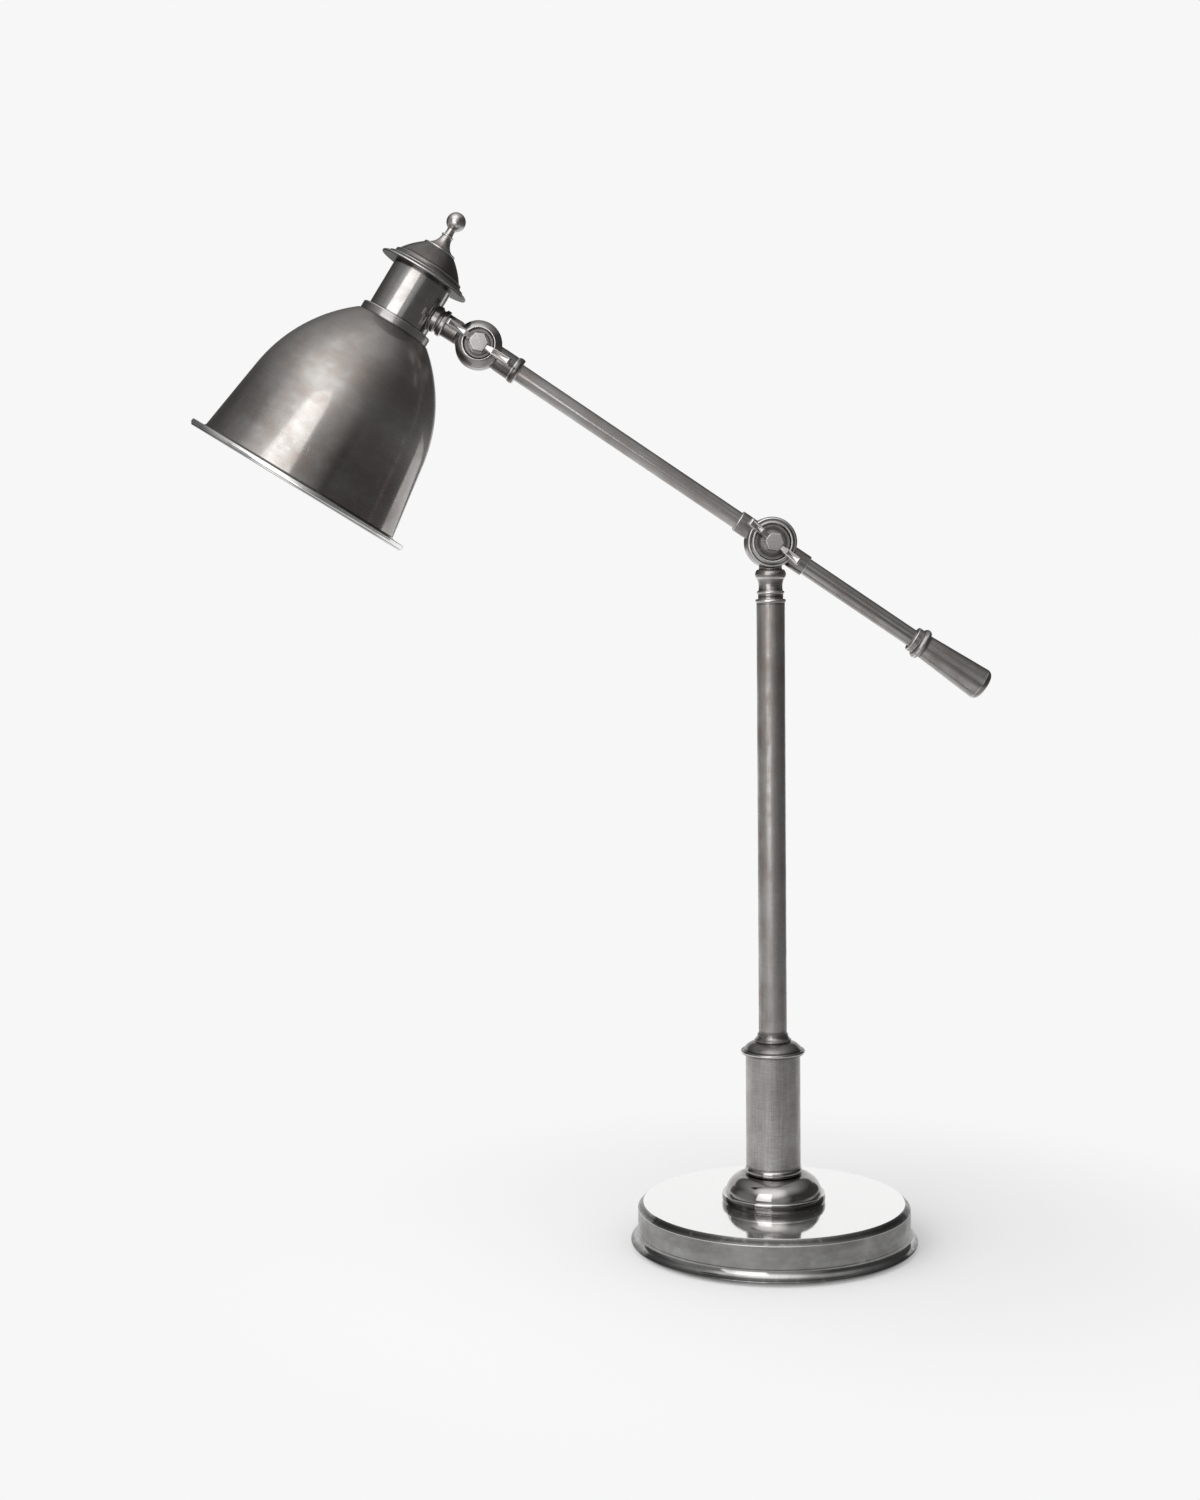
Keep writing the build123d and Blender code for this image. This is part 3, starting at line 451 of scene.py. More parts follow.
def prism(corners, low, high, place):
    """Closed bar of a polygon in millimetres, from low to high along a place's Z axis."""
    bm = bmesh.new()
    face = bm.faces.new([bm.verts.new((x * MM, y * MM, low * MM)) for x, y in corners])
    lifted = bmesh.ops.extrude_face_region(bm, geom=[face])["geom"]
    moved = [v for v in lifted if isinstance(v, bmesh.types.BMVert)]
    bmesh.ops.translate(bm, vec=(0, 0, (high - low) * MM), verts=moved)
    return placed(bm, place)


def hexagon(corner, turn=0.0):
    """Corners of a hexagon that reach a distance from its middle."""
    angles = [i * math.pi / 3 + turn for i in range(6)]
    return [(corner * math.cos(angle), corner * math.sin(angle)) for angle in angles]


def half_bar(radius, low, high, face, place):
    """Half-round bar along a place's Z axis, cut flat at a face across its X and kept outside of it."""
    bm = spun(rod(radius, low, high), STAND, edge=0)
    cut = bmesh.ops.bisect_plane(
        bm, geom=bm.verts[:] + bm.edges[:] + bm.faces[:], plane_co=(face * MM, 0, 0),
        plane_no=(math.copysign(1, face), 0, 0), clear_inner=True)["geom_cut"]
    bmesh.ops.holes_fill(bm, edges=[e for e in cut if isinstance(e, bmesh.types.BMEdge)])
    return placed(bm, place)


def drill(radius, low, high, place):
    """Shell that bores a round hole. Its step count keeps its edges off those of the turned shells."""
    return spun(rod(radius, low, high), place, DRILL_STEPS, edge=0)


def linked(name, bm):
    """Put a shell in a new object of the scene."""
    mesh = bpy.data.meshes.new(name)
    bm.to_mesh(mesh)
    bm.free()
    obj = bpy.data.objects.new(name, mesh)
    bpy.context.scene.collection.objects.link(obj)
    return obj


def fused(shells, drills=()):
    """One clean shell from overlapping shells, less the drills: joined one after another, as triangles."""
    for bm in [*shells, *drills]:
        bmesh.ops.triangulate(bm, faces=bm.faces[:])
    first, *others = [linked("shell", bm) for bm in shells]
    tools = [(obj, "UNION") for obj in others] + [(linked("drill", bm), "DIFFERENCE") for bm in drills]
    bm = bmesh.new()
    for obj, operation in tools:
        modifier = first.modifiers.new(operation.lower(), "BOOLEAN")
        modifier.operation = operation
        modifier.solver = "EXACT"
        modifier.object = obj
        graph = bpy.context.evaluated_depsgraph_get()
        mesh = bpy.data.meshes.new_from_object(first.evaluated_get(graph))
        first.modifiers.clear()
        bm.clear()
        bm.from_mesh(mesh)
        bmesh.ops.remove_doubles(bm, verts=bm.verts[:], dist=BOOLEAN_WELD)
        bmesh.ops.triangulate(bm, faces=bm.faces[:])
        bm.to_mesh(first.data)
        bpy.data.meshes.remove(mesh)
        bpy.data.meshes.remove(obj.data)
    bpy.data.meshes.remove(first.data)
    return bm


def finished(node, bm, finish):
    """Make a piece from a shell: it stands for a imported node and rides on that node's body."""
    bmesh.ops.remove_doubles(bm, verts=bm.verts[:], dist=PIECE_WELD)
    bmesh.ops.dissolve_degenerate(bm, edges=bm.edges[:], dist=PIECE_WELD)
    bmesh.ops.recalc_face_normals(bm, faces=bm.faces[:])
    for f in bm.faces:
        f.smooth = True
    for e in bm.edges:
        e.smooth = len(e.link_faces) == 2 and e.calc_face_angle() < SHARP_ANGLE
    obj = linked(f"{node}_piece", bm)
    obj.data.materials.append(finish)
    flat = obj.modifiers.new("flat_faces", "WEIGHTED_NORMAL")
    flat.keep_sharp = True
    flat.weight = FLAT_WEIGHT
    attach(obj, BODY_OF[node])
    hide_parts(node)
    return obj


def silver_piece(node, bm, place, **look):
    """Finished piece in silver."""
    return finished(node, bm, silver(node, place, **look))


def turned_piece(node, outline, place, steps=None, edge=None, **look):
    """Turned piece in silver."""
    return silver_piece(node, spun(outline, place, steps, edge), place, **look)


# Outlines of the turned pieces: radius, height and bow, in millimetres

BASE_OUTLINE = [
    (77.0, 0.5), (79.2, 0.5), (81.8, 2.0, 0.5), (81.8, 3.4, 0.5), (81.3, 3.7), (78.2, 8.5, -0.9),
    (78.2, 21.5), (74.9, 24.8), (5.05, 24.8), (5.05, 23.6), (74.4, 23.6), (77.0, 21.0),
]
FOOT_OUTLINE = [
    (5.05, 24.8), (29.3, 24.8), (29.3, 29.7, 0.35), (28.9, 30.1, 0.12), (27.5, 30.1), (15.0, 40.6, 3.6),
    (15.5, 40.6), (15.5, 45.0, 0.9), (14.35, 45.0), (14.35, 57.0), (8.05, 57.0), (8.05, 40.6), (5.05, 40.6),
]
SLEEVE_OUTLINE = [(14.4, 45.0), (15.6, 45.0), (15.6, 110.6), (14.4, 110.6)]
CAP_OUTLINE = [
    (8.05, 102.6), (14.35, 102.6), (14.35, 110.6), (17.6, 110.6), (17.6, 113.0, 0.8), (16.8, 113.0),
    (10.1, 117.6, 1.0), (10.1, 119.0, 0.5), (8.75, 122.0, -0.4), (8.05, 122.0),
]
POST_OUTLINE = [(6.8, 40.6), (8.0, 40.6), (8.0, 368.0), (6.8, 368.0)]
FERRULE_OUTLINE = [
    (2.4, 352.0), (6.75, 352.0), (6.75, 368.0), (8.1, 368.0), (8.1, 370.2, 0.5), (7.1, 370.2),
    (7.1, 373.0), (7.3, 373.0), (7.3, 374.8, 0.5), (6.9, 374.8), (7.5, 381.4, -0.5),
    (7.5, 386.8, 1.2), (6.6, 386.8), (6.6, 387.4), (2.4, 387.4),
]
ARM_FRONT_OUTLINE = [(4.0, 16.0), (5.0, 16.0), (5.0, 181.6), (4.0, 181.6)]
ARM_REAR_OUTLINE = [(4.0, 16.0), (5.0, 16.0), (5.0, 119.7), (4.0, 119.7)]
WEIGHT_COLLAR_OUTLINE = [
    (5.05, 97.7), (6.8, 97.7), (7.3, 98.2, 0.146), (7.3, 101.3), (7.7, 101.3), (7.7, 105.7, 1.4),
    (5.05, 105.7),
]
WEIGHT_OUTLINE = [
    (5.05, 105.7), (6.9, 105.7), (9.2, 144.1), (5.6, 147.68, 1.05), (0.0, 147.68), (0.0, 119.7),
    (5.05, 119.7),
]
FRONT_COLLAR_OUTLINE = [(0, 14.6), (6.15, 14.6), (6.15, 21.7), (5.65, 22.2, 0.146), (0, 22.2)]
REAR_COLLAR_OUTLINE = [(0, 14.6), (6.15, 14.6), (6.15, 23.7), (5.65, 24.2, 0.146), (0, 24.2)]
END_COLLAR_OUTLINE = [(0, 13.5), (6.9, 13.5), (6.9, 22.9), (7.2, 22.9), (7.2, 26.7, 0.5), (0, 26.7)]
STEM_OUTLINE = [(0, 8.2), (5.0, 8.2), (5.0, 24.0), (6.5, 24.0), (6.5, 32.0), (0, 32.0)]
ARM_CUP_OUTLINE = [
    (3.05, 7.55), (14.0, 7.55), (13.1, 8.75, 0.25), (12.5, 8.65), (11.3, 10.95, 0.3), (10.5, 10.95),
    (9.7, 8.55, -0.15), (6.4, 8.55), (6.4, 9.8), (3.05, 9.8),
]
HEAD_CUP_OUTLINE = [
    (3.05, 7.55), (12.95, 7.55), (9.3, 10.95, 0.4), (8.75, 10.95), (8.1, 9.35, -0.15), (6.4, 9.35),
    (6.4, 9.8), (3.05, 9.8),
]
CROWN_OUTLINE = [(0, 10.95), (4.6, 10.95), (4.6, 11.95), (3.5, 13.95, 0.45), (0, 13.95)]
FLANGE_OUTLINE = [
    (5.05, 14.0), (7.7, 14.0), (7.7, 18.9), (7.1, 19.5, 0.12), (6.5, 20.2), (6.5, 20.7), (7.1, 21.2),
    (7.7, 21.8, 0.12), (7.7, 23.4), (7.1, 24.0, 0.18), (5.05, 24.0),
]
COLLAR_OUTLINE = [(17.95, 102.3), (20.9, 102.3), (20.9, 106.5), (20.1, 107.3, 0.23), (17.95, 107.3)]
NECK_OUTLINE = [(16.7, 102.3), (17.9, 102.3), (17.9, 135.3), (16.7, 135.3)]
VENT_OUTLINE = [
    (15.45, 131.3), (16.65, 131.3), (16.65, 135.3), (26.2, 135.3), (26.2, 136.6, 0.4), (25.6, 137.0),
    (25.0, 136.9), (23.3, 138.0, -0.1), (23.0, 138.5, 0.12), (22.4, 138.5), (20.5, 140.5, -0.35),
    (20.1, 141.3, 0.2), (19.3, 141.5), (9.8, 151.8, 0.55), (3.05, 151.8), (3.05, 150.6), (8.6, 150.6),
    (15.45, 141.8, -0.9),
]
FINIAL_OUTLINE = [
    (0.0, 137.8), (3.0, 137.8), (3.0, 151.8), (9.3, 151.8), (9.3, 153.0, 0.3), (8.3, 153.0),
    (3.1, 160.4, -1.3), (3.3, 160.7), (3.3, 161.5, 0.3), (2.5, 161.8), (2.4, 165.4, -0.15),
    (5.4, 170.237, 0.811), (0.0, 175.637, 1.5816),
]
HOLDER_OUTLINE = [
    (14.0, 66.3), (17.0, 66.3), (17.0, 73.3), (16.0, 73.3), (16.0, 101.3), (5.05, 101.3), (5.05, 97.3),
    (14.0, 97.3),
]
INSULATOR_OUTLINE = [(6.0, 91.3), (13.95, 91.3), (13.95, 97.3), (1.45, 97.3), (1.45, 94.3), (6.0, 94.3)]
CONTACT_OUTLINE = [(0.0, 91.7), (4.0, 92.3, 0.3), (4.0, 94.3), (1.4, 94.3), (1.4, 97.3), (0.0, 97.3)]

# Round holes: radius, start and end along the axis, in millimetres
OUTLET_BORE = (3.65, 70.0, 90.0)
NUT_BORE = (3.05, 5.45, 11.55)
SCREW_BORE = (3.05, -2.0, 12.0)
ARM_TUBE_BORE = (5.05, 16.0, 30.0)
END_TUBE_BORE = (5.05, 14.9, 40.0)
STEM_BORE = (2.4, 7.0, 27.0)
NECK_BORE = (17.9, 90.0, 150.0)
RIVET_BORE = (1.5, 85.0, 100.0)

# Places of the holes that stand off a piece's axis, in millimetres
OUTLET_HEIGHT = 15.0
RIVET_OFFSET = 9.975


class LAMP_OT_base(bpy.types.Operator):
    """Turn the base's cover with its flange, cove, band and chamfer"""

    bl_idname = "lamp.base"
    bl_label = "Base"

    def execute(self, context):
        sizes = context.scene.lamp_sizes
        shell = spun(BASE_OUTLINE, STAND, sizes.large_steps, sizes.edge)
        outlet = axes(Vector((0, 0, OUTLET_HEIGHT * MM)), outlet_way(), UP)
        cover = fused([shell], [drill(*OUTLET_BORE, outlet)])
        # Painted shade at the top of the cove, on the chamfer and on the flange; painted highlights on the
        # chamfer's lower edge and the flange's bottom edge
        silver_piece("base_shell", cover, STAND, tone=0.92, patina=0.75, gloss=0.08, marks=0.4,
                     smudge=0.6, warm=0.3, polish=(8.2, 8.4), mirror=24.75, lines=[
                         ("z", 8.6, 0.5, -0.8), ("z", 23.2, 2.6, -0.95), ("z", 21.4, 0.3, 0.9),
                         ("z", 3.3, 2.0, -0.8), ("z", 0.8, 0.5, 0.4)])
        return {"FINISHED"}


def outlet_way():
    """Direction of the cord outlet in the base's side."""
    low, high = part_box("cord_grommet")
    middle = (low + high) / 2
    return Vector((middle.x, middle.y, 0)).normalized()


class LAMP_OT_column(bpy.types.Operator):
    """Turn the foot, the sleeve, its cap and the post"""

    bl_idname = "lamp.column"
    bl_label = "Column"

    def execute(self, context):
        # Painted light on the foot: its ring darkened, a painted highlight along the ring's top edge, painted
        # shade where it stands on the base and where the bell meets the sleeve's ring
        turned_piece("column_foot", FOOT_OUTLINE, STAND, tone=0.82, patina=0.35, gloss=0.07, haze=0.36,
                     satin=0.07, turned=0.35, lines=[
                         ("z", 27.0, 4.0, -0.95), ("z", 29.85, 0.42, 1.0), ("z", 41.0, 1.0, -0.8),
                         ("z", 25.2, 0.7, -0.7)])
        # Painted shade at both ends of the sleeve
        turned_piece("column_sleeve", SLEEVE_OUTLINE, STAND, patina=0.55, gloss=0.20, haze=0.40, satin=0.8,
                     turned=0.6, drawn=0.7, marks=0.7, seed=7.0,
                     lines=[("z", 45.6, 0.9, -0.6), ("z", 110.2, 0.9, -0.6)])
        # Painted highlight on the cap's rim and painted shade above it
        turned_piece("column_cap", CAP_OUTLINE, STAND, tone=0.62, gloss=0.12, haze=0.44, seed=3.0,
                     lines=[("z", 113.2, 0.6, -0.8), ("z", 111.8, 0.7, 0.8)])
        # Painted shade where the post leaves the cap and under the ferrule
        turned_piece("post_tube", POST_OUTLINE, STAND, tone=1.08, patina=0.9, gloss=0.18, haze=0.52,
                     satin=0.8, turned=0.3, drawn=0.5, seed=12.0,
                     lines=[("z", 123.0, 1.5, -0.7), ("z", 367.4, 0.8, -0.6)])
        return {"FINISHED"}


# Knuckles: discs, gaps between their faces and the screws' seat, in millimetres

POST_KNUCKLE = 14.2
HEAD_KNUCKLE = 13.1
KNUCKLE_HALF = 7.2
KNUCKLE_EDGE = 0.5
QUARTER_ROUND = 1 - math.sqrt(0.5)
REAR_FACE = 0.25
FRONT_FACE = 0.35
SCREW_SEAT = 9.85

# Webs between the discs and what they carry: radius, start and end along the axis, and the cut faces
PIVOT_HEIGHT = 402.0
WEB_INSET = 0.05
WEB_PAST = 4.3
WEB_REAR = REAR_FACE + WEB_INSET
WEB_FRONT = -FRONT_FACE - WEB_INSET
FERRULE_WEB = (6.5, 386.0, PIVOT_HEIGHT + WEB_PAST)
ARM_WEB = (6.05, -15.2, 15.2)
END_WEB = (6.8, -WEB_PAST, 14.2)
STEM_WEB = (6.4, 28.0, STEM_OFFSET + WEB_PAST)


def half_disc(radius, face, place):
    """One half of a knuckle."""
    back = face + KNUCKLE_HALF
    return spun([
        (0, face), (radius, face), (radius, back - KNUCKLE_EDGE),
        (radius - KNUCKLE_EDGE, back, KNUCKLE_EDGE * QUARTER_ROUND), (0, back),
    ], place, edge=0)


class LAMP_OT_post_knuckle(bpy.types.Operator):
    """Make both halves of the post's knuckle with the ferrule and the arm's collars"""

    bl_idname = "lamp.post_knuckle"
    bl_label = "Post knuckle"

    def execute(self, context):
        shells = [half_disc(POST_KNUCKLE, REAR_FACE, POST_REAR),
                  half_bar(*FERRULE_WEB, WEB_REAR, POST),
                  spun(FERRULE_OUTLINE, STAND)]
        hole = drill(*SCREW_BORE, POST_REAR)
        # Painted highlights on the ferrule's beads and painted shade in its grooves and under the knuckle
        silver_piece("post_ferrule", fused(shells, [hole]), STAND, gloss=0.14, turned=0.6, seed=5.0, lines=[
            ("z", 369.1, 0.8, 0.9), ("z", 371.6, 1.2, -0.8), ("z", 373.9, 0.7, 0.8), ("z", 375.6, 0.6, -0.6),
            ("z", 382.0, 0.8, 0.6), ("z", 386.9, 0.6, -0.7)])

        shells = [half_disc(POST_KNUCKLE, FRONT_FACE, POST_FRONT),
                  half_bar(*ARM_WEB, WEB_FRONT, ARM_FRONT)]
        holes = [drill(*SCREW_BORE, POST_FRONT)]
        for place, outline in ((ARM_FRONT, FRONT_COLLAR_OUTLINE), (ARM_REAR, REAR_COLLAR_OUTLINE)):
            shells.append(spun(outline, place))
            holes.append(drill(*ARM_TUBE_BORE, place))
        # Painted highlights on the ends of the arm's collars
        silver_piece("arm_knuckle", fused(shells, holes), ARM_FRONT, tone=0.75, patina=0.8, seed=9.0,
                     lines=[("z", 22.0, 0.6, 0.9), ("z", -24.0, 0.6, 0.9)])
        return {"FINISHED"}


class LAMP_OT_head_knuckle(bpy.types.Operator):
    """Make both halves of the head's knuckle with the beaded collar, the stem and its flange"""

    bl_idname = "lamp.head_knuckle"
    bl_label = "Head knuckle"

    def execute(self, context):
        shells = [half_disc(HEAD_KNUCKLE, FRONT_FACE, HEAD_FRONT),
                  half_bar(*END_WEB, WEB_FRONT, ARM_END),
                  spun(END_COLLAR_OUTLINE, ARM_END)]
        holes = [drill(*SCREW_BORE, HEAD_FRONT), drill(*END_TUBE_BORE, ARM_END)]
        # Painted highlights on the edges of the beaded collar
        silver_piece("arm_end_knuckle", fused(shells, holes), ARM_END, tone=0.5, patina=0.9, seed=15.0,
                     lines=[("z", 22.9, 0.6, 1.0), ("z", 26.7, 0.7, 1.0)])

        shells = [half_disc(HEAD_KNUCKLE, REAR_FACE, HEAD_REAR),
                  half_bar(*STEM_WEB, WEB_REAR, STEM),
                  spun(STEM_OUTLINE, STEM)]
        holes = [drill(*SCREW_BORE, HEAD_REAR), drill(*STEM_BORE, STEM)]
        # Painted shade at the stem's step
        silver_piece("head_stem", fused(shells, holes), STEM, tone=0.82, patina=0.7, seed=17.0,
                     lines=[("z", 24.4, 0.5, -0.8)])

        flange = spun(FLANGE_OUTLINE, STEM)
        # Painted highlight on the flange's end edge
        silver_piece("stem_flange", fused([flange], [drill(*NECK_BORE, HEAD)]), STEM, tone=0.9, gloss=0.12,
                     seed=19.0, lines=[("z", 23.8, 0.5, 0.8)])
        return {"FINISHED"}


class LAMP_OT_cups(bpy.types.Operator):
    """Turn the two dished cup washers"""

    bl_idname = "lamp.cups"
    bl_label = "Cup washers"

    def execute(self, context):
        # Painted highlights on the cup's edge and rim, painted shade in the groove between them and in the dish
        turned_piece("arm_knuckle_cup", ARM_CUP_OUTLINE, POST_FRONT, gloss=0.13, turned=0.6, seed=21.0,
                     lines=[("r", 13.4, 0.4, 0.7), ("r", 12.5, 0.5, -0.9), ("r", 10.9, 0.6, 0.9),
                            ("r", 7.7, 2.4, -0.85)])
        # Painted highlight on the cup's rim, painted shade inside it and in the dish
        turned_piece("head_knuckle_cup", HEAD_CUP_OUTLINE, HEAD_FRONT, tone=0.8, patina=0.5, gloss=0.13,
                     haze=0.38, turned=0.6, seed=23.0,
                     lines=[("r", 9.0, 0.35, 0.9), ("r", 7.9, 0.5, -0.9), ("r", 6.3, 1.2, -0.8)])
        return {"FINISHED"}


# Knuckle nuts: reach of a corner and both ends along the axis, in millimetres
NUT_CORNER = 5.5 / math.cos(math.pi / 6)
NUT_LOW = 7.45
NUT_TOP = 11.95


class LAMP_OT_knuckle_nuts(bpy.types.Operator):
    """Make the domed nuts behind the knuckles"""

    bl_idname = "lamp.knuckle_nuts"
    bl_label = "Knuckle nuts"

    def execute(self, context):
        sizes = context.scene.lamp_sizes
        for node, place in (("post_knuckle_nut", POST_REAR), ("head_knuckle_nut", HEAD_REAR)):
            nut = prism(hexagon(NUT_CORNER), NUT_LOW, NUT_TOP, place)
            round_edges(nut, sizes.edge)
            crown = spun(CROWN_OUTLINE, place, edge=sizes.edge)
            silver_piece(node, fused([nut, crown], [drill(*NUT_BORE, place)]), place, gloss=0.15, turned=0.4,
                         seed=25.0)
        return {"FINISHED"}


# Wing screws: node, place, reach in millimetres and angle of the wings from the arm
WING_SCREWS = (
    ("post_wing_screw", POST_FRONT, 18.2, math.radians(-6)),
    ("head_wing_screw", HEAD_FRONT, 20.6, 0.0),
)
SHANK = (3.0, -11.15, SCREW_SEAT + 1)
BOSS_CORNER = 5.4
BOSS_HEIGHT = 9.0
BOSS_EDGE = 0.4 * MM
BOSS_TURN = -math.atan2(ARM_WAY.z, -ARM_WAY.x)
WING_EDGE = 0.5 * MM
WING_EDGE_STEPS = 3
WING_ROOT = 1.35
WING_TIP = 2.0
WING_SWELL_START = 8 * MM
PANEL_START = 9 * MM
PANEL_RIM = 0.5 * MM
PANEL_STEP = 0.3 * MM
PANEL_DIP = 1.0 * MM


class LAMP_OT_wing_screws(bpy.types.Operator):
    """Make the two wing screws: a faceted head, two swept wings and a shank"""

    bl_idname = "lamp.wing_screws"
    bl_label = "Wing screws"

    def execute(self, context):
        for node, place, reach, twist in WING_SCREWS:
            boss = prism(hexagon(BOSS_CORNER, BOSS_TURN), SCREW_SEAT, SCREW_SEAT + BOSS_HEIGHT, place)
            round_edges(boss, BOSS_EDGE, WING_EDGE_STEPS)
            shells = [boss]
            for side in (1, -1):
                way = axes(Vector((0, 0, 0)), FRONT, Vector((side, 0, 0)))
                shells.append(wing(reach, place @ (Matrix.Rotation(twist, 4, "Z") @ way), side))
            shells.append(spun(rod(*SHANK), place))
            silver_piece(node, fused(shells), place, tone=1.28, patina=0.4, gloss=0.17, haze=0.4, turned=0.2,
                         seed=27.0)
        return {"FINISHED"}


def wing(reach, place, side):
    """One wing of a wing screw: thicker towards its tip, with rounded edges and a sunk panel on its front."""
    outline = [
        (1.0, 2.2), (reach - 5, 2.2), (reach, 5.0), (reach, 9.4), (reach - 1.2, 10.4), (8.8, 9.3), (5.4, 8.6),
        (1.0, 8.6),
    ]

    def panel(face):
        """How much a face is the panel: a large one that faces the front, past the wing's start."""
        return face.normal.y * side * face.calc_area() * (face.calc_center_median().x > PANEL_START)

    bm = prism([(x, (z + SCREW_SEAT) * side) for x, z in outline], -WING_ROOT, WING_ROOT, STAND)
    outer = [v for v in bm.verts if v.co.x > WING_SWELL_START]
    bmesh.ops.scale(bm, vec=(1, 1, WING_TIP / WING_ROOT), verts=outer)
    round_edges(bm, WING_EDGE, WING_EDGE_STEPS)
    front = max(bm.faces, key=panel)
    bmesh.ops.inset_individual(
        bm, faces=[front], thickness=PANEL_RIM, depth=-PANEL_STEP, use_even_offset=True)
    bmesh.ops.poke(bm, faces=[front], offset=-PANEL_DIP)
    return placed(bm, place)


class LAMP_OT_boom(bpy.types.Operator):
    """Turn the boom's two tubes and the counterweight with its ring"""

    bl_idname = "lamp.boom"
    bl_label = "Boom arm"

    def execute(self, context):
        for node, outline, place, seed in (
            ("arm_tube_front", ARM_FRONT_OUTLINE, ARM_FRONT, 31.0),
            ("arm_tube_rear", ARM_REAR_OUTLINE, ARM_REAR, 33.0),
        ):
            turned_piece(node, outline, place, tone=0.92, patina=0.7, gloss=0.15, haze=0.38, satin=0.4,
                         turned=0.14, drawn=0.12, seed=seed)
        # Painted highlights on the collar's edges and painted shade in its groove
        turned_piece("counterweight_collar", WEIGHT_COLLAR_OUTLINE, ARM_REAR, seed=35.0,
                     lines=[("z", 98.0, 0.5, 0.8), ("z", 101.5, 0.5, -0.6), ("z", 103.5, 0.8, 0.7)])
        # Painted highlight on the weight's end and painted shade where it meets the collar
        turned_piece("counterweight", WEIGHT_OUTLINE, ARM_REAR, edge=context.scene.lamp_sizes.edge, tone=0.9,
                     patina=0.75, gloss=0.17, haze=0.38, satin=0.45, turned=0.2, drawn=0.06, seed=37.0,
                     lines=[("z", 144.2, 0.5, 0.6), ("z", 106.2, 0.8, -0.8)])
        return {"FINISHED"}


# Head


class LAMP_OT_shade(bpy.types.Operator):
    """Spin the shade's bell with its rolled brim"""

    bl_idname = "lamp.shade"
    bl_label = "Shade"

    def execute(self, context):
        # Painted shade over the shade's lower part, in the crease above the brim, in the brim's groove and at the
        # top's edge; a painted highlight along the brim
        turned_piece("shade", shade_outline(), HEAD, steps=context.scene.lamp_sizes.large_steps, tone=0.92,
                     gloss=0.08, haze=0.44, satin=0.8, turned=0.45, smudge=0.2, warm=1.4, polish=(24.0, 64.0),
                     seed=1.0, lines=[
                         ("z", 14.0, 44.0, -0.26), ("r", 67.4, 1.6, 1.0), ("z", 2.9, 0.6, -0.8),
                         ("z", -0.45, 0.3, -0.9), ("r", 22.4, 1.2, -0.4)])
        return {"FINISHED"}


def shade_outline():
    """Bell of one wall thickness: flat top, dome tangent to a flared wall, brim rolled round a wire."""
    wall = 1.0
    foot, hip, top = Vector((59.3, 5.2)), Vector((53.3, 46.5)), Vector((22.0, 102.3))
    along = (hip - foot).normalized()
    out = Vector((along.y, -along.x))
    rise = top - hip
    radius = -rise.length_squared / (2 * rise.dot(out))
    centre = hip - out * radius

    def bow(first, second, size):
        half = (second - first).length / 2
        return size - math.sqrt(size * size - half * half)

    inner_radius = radius - wall
    inner_top_u = top.y - wall
    inner_top = Vector((centre.x + math.sqrt(inner_radius ** 2 - (inner_top_u - centre.y) ** 2), inner_top_u))
    inner_hip = centre + out * inner_radius
    inner_foot = foot - out * wall
    lip, low, high = 67.3, -1.35, 2.15
    crease = foot - along * 1.9
    return [
        tuple(inner_foot),
        (61.9, 1.5, 0.7),
        (62.7, 1.2),
        (63.0, -0.4, -0.1),
        (64.0, low, 0.3),
        (lip - 1.2, low),
        (lip - 0.55, -0.65, 0.2),
        (lip - 0.6, -0.45),
        (lip - 0.05, -0.25),
        (lip - 0.05, high - 0.8, 0.12),
        (lip - 0.8, high, 0.3),
        (crease.x + 1.5, high + 0.05),
        (crease.x, crease.y, -0.3),
        tuple(hip),
        (top.x, top.y, bow(hip, top, radius)),
        (10.0, top.y),
        (10.0, top.y - wall),
        tuple(inner_top),
        (inner_hip.x, inner_hip.y, -bow(inner_hip, inner_top, inner_radius)),
    ]


class LAMP_OT_neck(bpy.types.Operator):
    """Turn the neck, its ring, the vent cap and the finial"""

    bl_idname = "lamp.neck"
    bl_label = "Neck and vent cap"

    def execute(self, context):
        # Painted shade under the vent cap and above the collar
        turned_piece("neck_sleeve", NECK_OUTLINE, HEAD, patina=0.5, gloss=0.08, haze=0.34, satin=0.32,
                     turned=0.3, seed=41.0, lines=[("z", 134.6, 1.0, -0.7), ("z", 107.6, 0.8, -0.8)])
        # Painted highlight on the collar's top edge and painted shade where it sits on the shade
        turned_piece("shade_collar", COLLAR_OUTLINE, HEAD, tone=0.8, patina=0.7, gloss=0.14, seed=43.0,
                     lines=[("z", 107.0, 0.5, 0.8), ("z", 102.5, 0.6, -0.7)])
        # Painted highlights on the vent cap's rim and rings, painted shade under its rim and at its dome's foot
        turned_piece("vent_cap", VENT_OUTLINE, HEAD, tone=0.68, patina=0.85, gloss=0.14, seed=45.0, lines=[
            ("z", 135.3, 0.4, -0.95), ("z", 136.3, 0.6, 0.9), ("z", 138.2, 0.3, 0.6), ("z", 141.3, 0.4, 0.8),
            ("z", 142.2, 0.5, -0.8)])
        # Painted shade above the finial's base and a painted highlight on its neck ring
        turned_piece("finial", FINIAL_OUTLINE, HEAD, tone=1.3, patina=0.35, gloss=0.14, haze=0.40, satin=0.42,
                     turned=0.4, seed=47.0, lines=[("z", 153.2, 0.5, -0.7), ("z", 161.1, 0.5, 0.7)])
        return {"FINISHED"}


